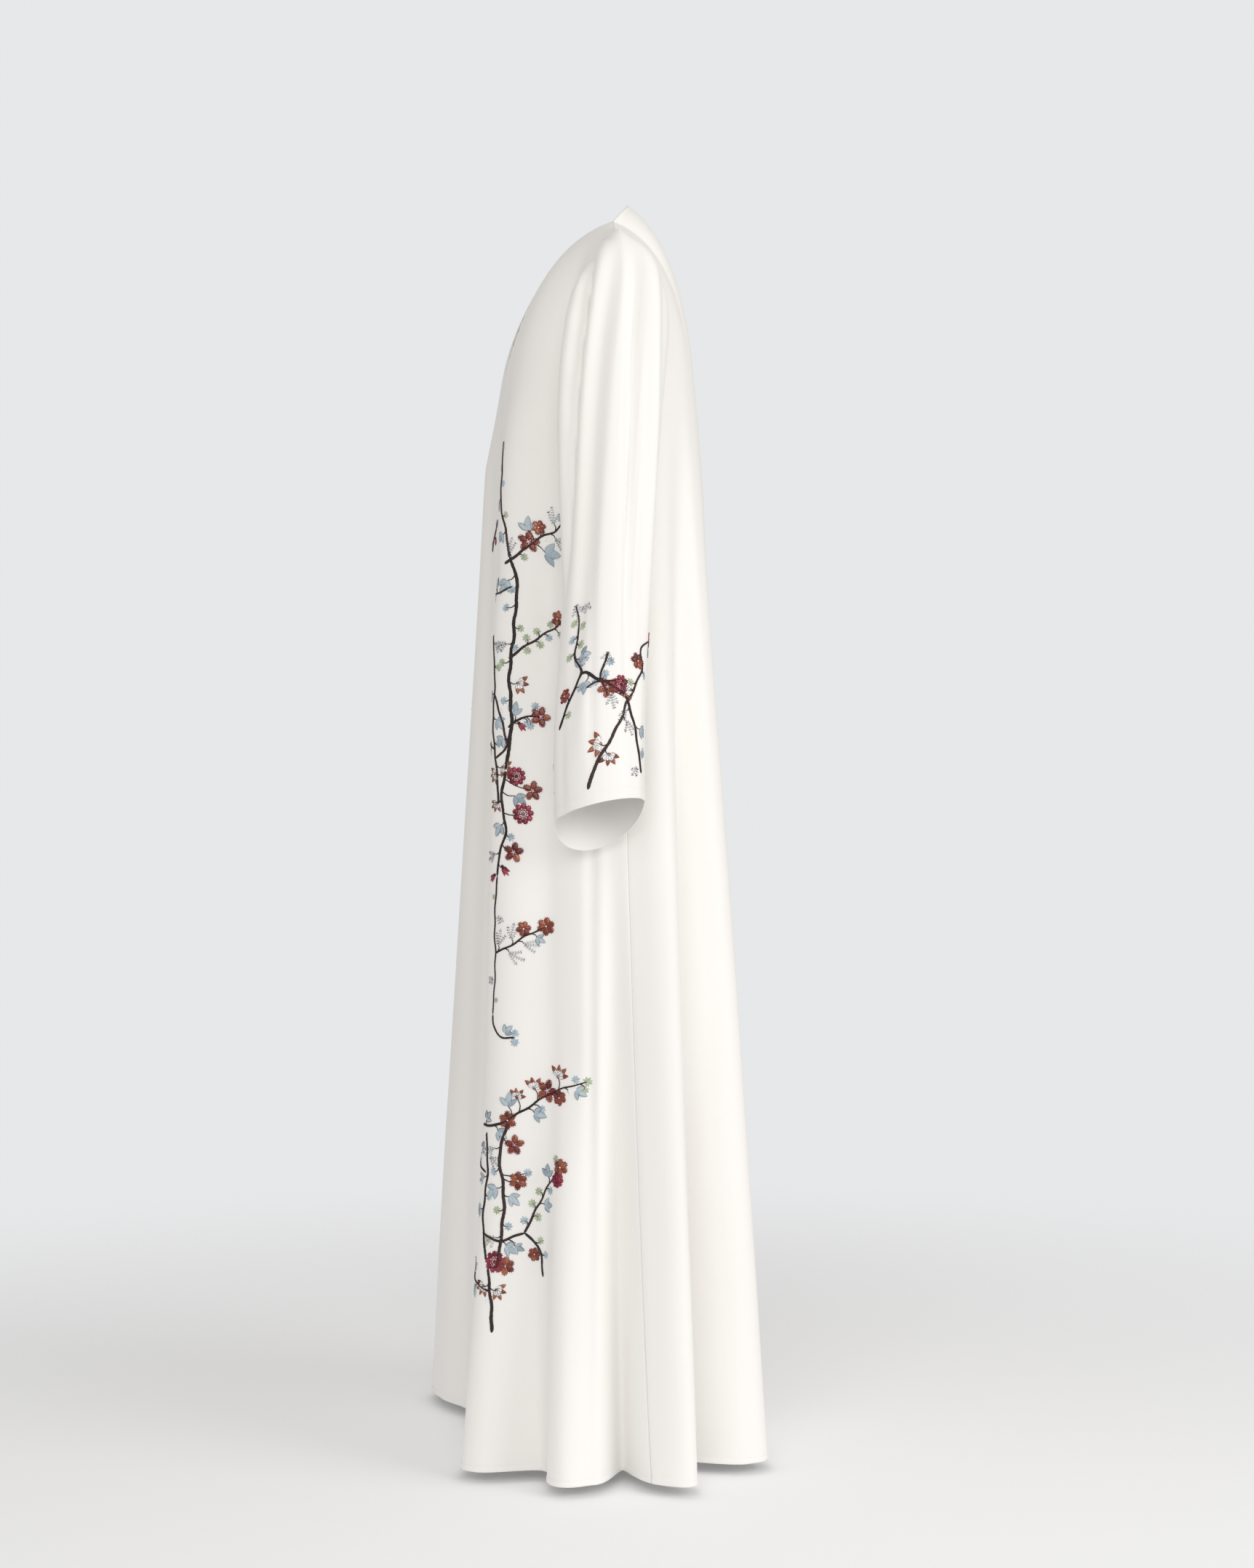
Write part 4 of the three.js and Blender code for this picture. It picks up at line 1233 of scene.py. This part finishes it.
# Short sprays on the inner side of the left front's fold, and a small sprig by the right front's edge.
LEFT_EXTRAS = [
    ("inner spray, high", 2.6, 1.4, [(36, -438), (8, -448), (-20, -444), (-46, -450)],
     [(0.35, 7, "leaves", 15.8), (0.5, -7, "blue", 5.6), (0.7, 6, "copper", 11), (0.9, -6, "green", 5.6),
      (1.0, 0, "spray", 14.2)]),
    ("inner spray, middle", 2.6, 1.4, [(20, -631), (-6, -624), (-32, -631)],
     [(0.3, -7, "green", 5.6), (0.6, 8, "leaves", 15.8), (0.75, -8, "spray", 14.2), (1.0, 0, "rust", 10)]),
    ("inner spray, low", 2.8, 1.4, [(24, -1122), (-4, -1113), (-34, -1094), (-58, -1086)],
     [(0.3, 7, "blue", 5.6), (0.45, -8, "rust", 9), (0.62, 7, "leaves", 15.8), (0.8, -7, "green", 5.6),
      (1.0, 0, "copper", 11)]),
    ("inner spray, foot", 2.6, 1.6, [(38, -1257), (10, -1248), (-20, -1232)],
     [(0.4, -7, "leaves", 14.5), (0.6, 7, "spray", 14.2), (1.0, 0, "rust", 10)]),
]
RIGHT_EXTRAS = [
    ("edge twig", 2.4, 3.0, [(-96, -350), (-84, -366), (-72, -386)],
     [(0.0, 0, "spray", 9), (0.5, 6, "bud", 7), (0.8, -5, "green", 4)]),
]

# The crest of each front's long fold: its distance from the front edge at each height.
FOLD_LINES = table(
    "z front_left front_right",
    [
        (-200, 88, 112),
        (-350, 94, 129),
        (-450, 104, 137),
        (-620, 111, 153),
        (-860, 120, 181),
        (-1020, 126, 201),
        (-1180, 138, 221),
        (-1340, 156, 242),
    ],
)

SLEEVE_BRANCHES = [
    ("front twig", 1.6, 3.6, [(45, 236), (39, 206), (43, 178), (29, 150)],
     [(0.0, 0, "spray", 14.2), (0.12, 6, "spray", 11.8), (0.24, -6, "green", 5.6),
      (0.34, 6, "green", 5.6), (0.46, -7, "blue", 5.6), (0.56, 7, "green", 5.6),
      (0.66, -7, "green", 5.6), (0.78, 8, "leaves", 14.5), (0.9, 7, "sequins", 4.5)]),
    ("crossing", 3.6, 3.0, [(64, 100), (47, 127), (29, 150), (3, 134), (-24, 118), (-38, 84), (-48, 30)],
     [(0.08, -8, "green", 5.2), (0.16, 11, "rust", 8), (0.22, -8, "blue", 5.6),
      (0.28, 11, "leaves", 18.5), (0.34, -9, "leaves", 14.5), (0.42, 8, "blue", 5.8),
      (0.5, -8, "spray", 14.2), (0.58, 8, "sequins", 5), (0.66, -7, "spray", 11.8),
      (0.76, 8, "leaves", 15.8), (0.88, 6, "leaves", 13.2), (0.97, -5, "spray", 10.6)]),
    ("back twig", 1.8, 4.6, [(-74, 200), (-47, 180), (-48, 154), (-31, 118), (-12, 78), (10, 44), (21, 18)],
     [(0.0, 0, "rust", 10), (0.05, 8, "leaves", 11.9), (0.24, -7, "rust", 9.5), (0.3, 7, "blue", 5.4),
      (0.4, -7, "green", 5.4), (0.5, -30, "copper", 11.5), (0.46, -18, "crimson", 11),
      (0.44, -3, "white", 13), (0.6, 8, "spray", 14.2), (0.78, -8, "white", 14), (0.8, 8, "white", 12)]),
    ("short twig", 2.8, 2.4, [(-1, 168), (6, 142), (-2, 118)],
     [(0.0, 0, "spray", 11.8), (0.2, 6, "blue", 5.6), (0.6, -7, "blue", 5.4)]),
    ("second short twig", 2.6, 2.4, [(24, 132), (8, 136), (-12, 134)],
     []),
    ("inner twig", 3.2, 1.8, [(102, 44), (120, 86), (114, 132), (132, 178)],
     [(0.1, 7, "leaves", 14.5), (0.26, -9, "rust", 10), (0.4, 8, "green", 5.6), (0.52, -7, "blue", 5.6),
      (0.66, 8, "spray", 15.3), (0.8, -8, "leaves", 15.8), (1.0, 0, "copper", 11)]),
    ("inner back twig", 3.2, 1.8, [(-104, 36), (-122, 80), (-114, 126), (-134, 162)],
     [(0.12, -7, "green", 5.6), (0.26, 10, "copper", 11), (0.44, -8, "leaves", 15.8),
      (0.6, 8, "blue", 5.6), (0.76, -7, "spray", 14.2), (1.0, 0, "rust", 9.5)]),
]


BRANCH = {"step": 1.4, "wobble": 0.9, "height": 1.3}
STALK = {"least": 6, "step": 1.3, "widths": (1.5, 0.9), "height": 0.9}  # for growths further out than least
LEAN = 1.1  # how much a growth beside its branch points away from it


def grow_branch(garden, start_width, end_width, route, growths):
    path = smooth_path(route, BRANCH["step"], BRANCH["wobble"])
    add_ridge(garden["twig_thread"], path, (start_width, end_width), BRANCH["height"])
    ahead = unit(np.gradient(path, axis=0))
    right = path_sides(path)
    for share, reach, kind, size in growths:
        i = min(len(path) - 1, int(share * (len(path) - 1)))
        place = path[i] + right[i] * reach
        heading = math.atan2(*(ahead[i] + right[i] * LEAN * np.sign(reach))[::-1])
        if abs(reach) > STALK["least"]:
            stalk = [path[max(0, i - 3)], path[i] + right[i] * reach * 0.45, place]
            curve = smooth_path(stalk, STALK["step"])
            add_ridge(garden["twig_thread"], curve, STALK["widths"], STALK["height"])
        MOTIFS[kind](garden, place, size, heading)


def sew(canvas, drawing, faces, name, finish, slot):
    """A piece from what is drawn on a canvas."""
    if canvas.sign < 0:
        faces = [face[::-1] for face in faces]
    return make_piece(name, canvas.place(drawing), faces, finish, slot)


def embroider(canvas, name, branches):
    """Draws the branches on a canvas and makes one piece of each finish."""
    garden = {finish: Stitching() for finish in MATERIALS if finish not in ("crepe", "crepe_thread")}
    for _, start_width, end_width, route, growths in branches:
        grow_branch(garden, start_width, end_width, route, growths)
    pieces = []
    for finish, stitching in garden.items():
        drawing = np.concatenate(stitching.points)
        if name in FOLD_LINES:
            drawing[:, 0] += read_table(FOLD_LINES, "z", name, drawing[:, 1])
        pieces.append(sew(canvas, drawing, stitching.faces, f"embroidery_{name}_{finish}", finish, finish))
    return pieces


def stitch_line(canvas, name, starts, headings):
    """A row of separate short stitches, each from its start along its heading."""
    stitches = Stitching()
    reach, rise = np.array([0, 0.5, 1]) * STITCH["length"], np.array([0.25, 1, 0.25]) * STITCH["height"]
    for start, heading in zip(starts, headings):
        direction, right = forward(heading), forward(heading - math.pi / 2)
        rows = []
        for r, h in zip(reach, rise):
            middle, beside = start + direction * r, right * 0.5 * STITCH["width"]
            rows.append([[*(middle + beside * s), h * (1 - abs(s)) + STITCH["lift"]] for s in (-1, 0, 1)])
        stitches.add_grid(np.array(rows))
    return sew(canvas, np.concatenate(stitches.points), stitches.faces, name, "crepe_thread", "crepe")


def stitch_depth(edge):
    return TURNED_DEPTH[edge] + STITCH_SINK


def along_x(low, high, y):
    return [np.array([x, y]) for x in np.arange(low, high, STITCH["pitch"])]


def along_y(x, low, high):
    return [np.array([x, y]) for y in np.arange(low, high, STITCH["pitch"])]


finished = {}
for word, side in SIDES:
    name = "front_" + word
    _, grid, normals, heights = PANELS[name]
    canvas = Canvas(grid, normals, heights, 0 if side > 0 else -1, side)
    hem = along_x(STITCH_ENDS["hem"], canvas.width_at_hem() - STITCH_ENDS["hem"], HEM_Z + stitch_depth("hem"))
    neck = along_y(stitch_depth("neck"), V_NECK_Z + STITCH_ENDS["hem"], -STITCH_ENDS["neck"])
    starts = hem + neck
    headings = [0.0] * len(hem) + [math.pi / 2] * len(neck)
    finished[name] = [stitch_line(canvas, f"stitches_{name}", starts, headings)]
    extras = LEFT_EXTRAS if side > 0 else RIGHT_EXTRAS
    finished[name] += embroider(canvas, name, FRONT_BRANCHES + extras)

_, grid, normals, heights = PANELS["back"]
canvas = Canvas(grid, normals, heights, grid.shape[1] // 2, 1)
half_hem = canvas.width_at_hem() / 2 - STITCH_ENDS["hem"]
half_neck = 0.25 * math.pi * (NECK["half_width"] + NECK["back_reach"])
starts = along_x(-half_hem, half_hem, HEM_Z + stitch_depth("hem"))
starts += along_x(-half_neck, half_neck, NECK["back_rise"] - TURNED_DEPTH["neck"])
finished["back"] = [stitch_line(canvas, "stitches_back", starts, [0.0] * len(starts))]

for word, side in SIDES:
    name = "sleeve_" + word
    _, grid, normals = PANELS[name]
    count = grid.shape[1]
    tip = count - 1 if side > 0 else 0
    order = (np.arange(count) - count // 2 + tip) % count
    heights = distance_from_first(grid, 0)[:, tip]
    canvas = Canvas(grid[:, order], normals[:, order], heights, count // 2, -side)
    first, last = canvas.across[0, 0] + STITCH_ENDS["cuff"], canvas.across[0, -1] - STITCH_ENDS["cuff"]
    starts = along_x(first, last, stitch_depth("cuff"))
    finished[name] = [stitch_line(canvas, f"stitches_{name}", starts, [0.0] * len(starts))]
    finished[name] += embroider(canvas, name, SLEEVE_BRANCHES)

# ---------------------------------------------------------------- floor, light and camera
# The camera, in metres and degrees, with its focal length in pixels of the photograph.
CAMERA = {"distance": 3.3, "turn": 8.5, "height": -0.674, "aside": 0.027, "focal_px": 3712}
PHOTO_HEIGHT = 2156  # pixels
SENSOR = 36
FLOOR = {"reach": 2.6, "fade_from": 0.5, "fade_to": 2.2, "gap": 0.012}  # metres, the gap being under the hem
LIGHT_TONE = (0.53, 0.52, 0.506, 1)  # what the surroundings light the cloth with
BACKDROP_TONE = (0.8, 0.805, 0.815, 1)  # what the camera sees of them

# Softboxes: name, place, target, size in metres, power in watts, colour.
SOFTBOXES = [
    ("key", (2.2, 2.6, 0.3), (0, 0, -0.7), 2.5, 43, (1, 0.993, 0.982)),
    ("side", (3.3, -0.8, 0.5), (0, 0, -0.75), 2.2, 34, (1, 0.992, 0.978)),
    ("fill", (0.4, -3.4, -0.2), (0, 0, -0.8), 2.5, 3, (1, 0.97, 0.94)),
]


def add_camera():
    turn = math.radians(CAMERA["turn"])
    camera = bpy.data.objects.new("camera", bpy.data.cameras.new("camera"))
    x = CAMERA["distance"] * math.cos(turn) + CAMERA["aside"] * math.sin(turn)
    y = -CAMERA["distance"] * math.sin(turn) + CAMERA["aside"] * math.cos(turn)
    camera.location = (x, y, CAMERA["height"])
    look = Vector((-math.cos(turn), math.sin(turn), 0))
    camera.rotation_euler = look.to_track_quat("-Z", "Y").to_euler()
    camera.data.lens = CAMERA["focal_px"] / PHOTO_HEIGHT * SENSOR
    camera.data.sensor_width = SENSOR
    bpy.context.scene.collection.objects.link(camera)
    bpy.context.scene.camera = camera


def add_softbox(name, place, target, size, power, color):
    light = bpy.data.lights.new(name, "AREA")
    light.shape = "DISK"
    light.size = size
    light.energy = power
    light.color = color
    lamp = bpy.data.objects.new(name, light)
    lamp.location = place
    lamp.rotation_euler = (Vector(target) - Vector(place)).to_track_quat("-Z", "Y").to_euler()
    lamp.visible_camera = False
    bpy.context.scene.collection.objects.link(lamp)


def add_floor():
    """A pale floor that fades into the surroundings."""
    material = new_material("pale_floor", (0.86, 0.865, 0.88), 0.9, Emission_Strength=0.13)
    shader_of(material).inputs["Emission Color"].default_value = (1, 1, 1, 1)
    place = add_node(material, "ShaderNodeTexCoord")
    length = add_node(material, "ShaderNodeVectorMath", operation="LENGTH")
    connect(material, place, "Object", length, 0)
    limits = (FLOOR["fade_from"], FLOOR["fade_to"], 1, 0)
    fade = add_range(material, length, "Value", limits, interpolation_type="SMOOTHSTEP")
    connect(material, fade, "Result", shader_of(material), "Alpha")
    mesh = bpy.data.meshes.new("floor")
    corners = [(x * FLOOR["reach"], y * FLOOR["reach"], 0) for x, y in ((-1, -1), (1, -1), (1, 1), (-1, 1))]
    mesh.from_pydata(corners, [], [(0, 1, 2, 3)])
    mesh.materials.append(material)
    floor = bpy.data.objects.new("floor", mesh)
    floor.location = (0, 0, HEM_Z * MM - FLOOR["gap"])
    bpy.context.scene.collection.objects.link(floor)
    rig.stage(floor)


def add_surroundings():
    world = bpy.data.worlds.new("studio")
    world.use_nodes = True
    nodes, links = world.node_tree.nodes, world.node_tree.links
    path = nodes.new("ShaderNodeLightPath")
    tone = nodes.new("ShaderNodeMix")
    tone.data_type = "RGBA"  # its inputs 6 and 7 are the two colours, and its output 2 the mixed one
    tone.inputs[6].default_value = LIGHT_TONE
    tone.inputs[7].default_value = BACKDROP_TONE
    links.new(path.outputs["Is Camera Ray"], tone.inputs[0])
    links.new(tone.outputs[2], nodes["Background"].inputs["Color"])
    bpy.context.scene.world = world
    bpy.context.scene.view_settings.view_transform = "Standard"


# The flat cut of each panel, in metres, with the seam allowances and turnings that don't show left off.
CUTS = {
    "front_left": {"flat": (0.48, 1.46), "area": 0.43},
    "front_right": {"flat": (0.52, 1.46), "area": 0.47},
    "back": {"flat": (1.0, 1.5), "area": 0.93},
    "sleeve_left": {"flat": (0.38, 0.72), "area": 0.2},
    "sleeve_right": {"flat": (0.38, 0.72), "area": 0.2},
}

add_camera()
add_floor()
add_surroundings()
for softbox in SOFTBOXES:
    add_softbox(*softbox)

for name, cut in CUTS.items():
    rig.sheet(PANELS[name][0], held="hung", with_pieces=finished[name], **cut)

with open("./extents.json", "w") as out:
    json.dump([[list(corner) for corner in box] for box in (CAD_BOX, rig.bounds())], out)
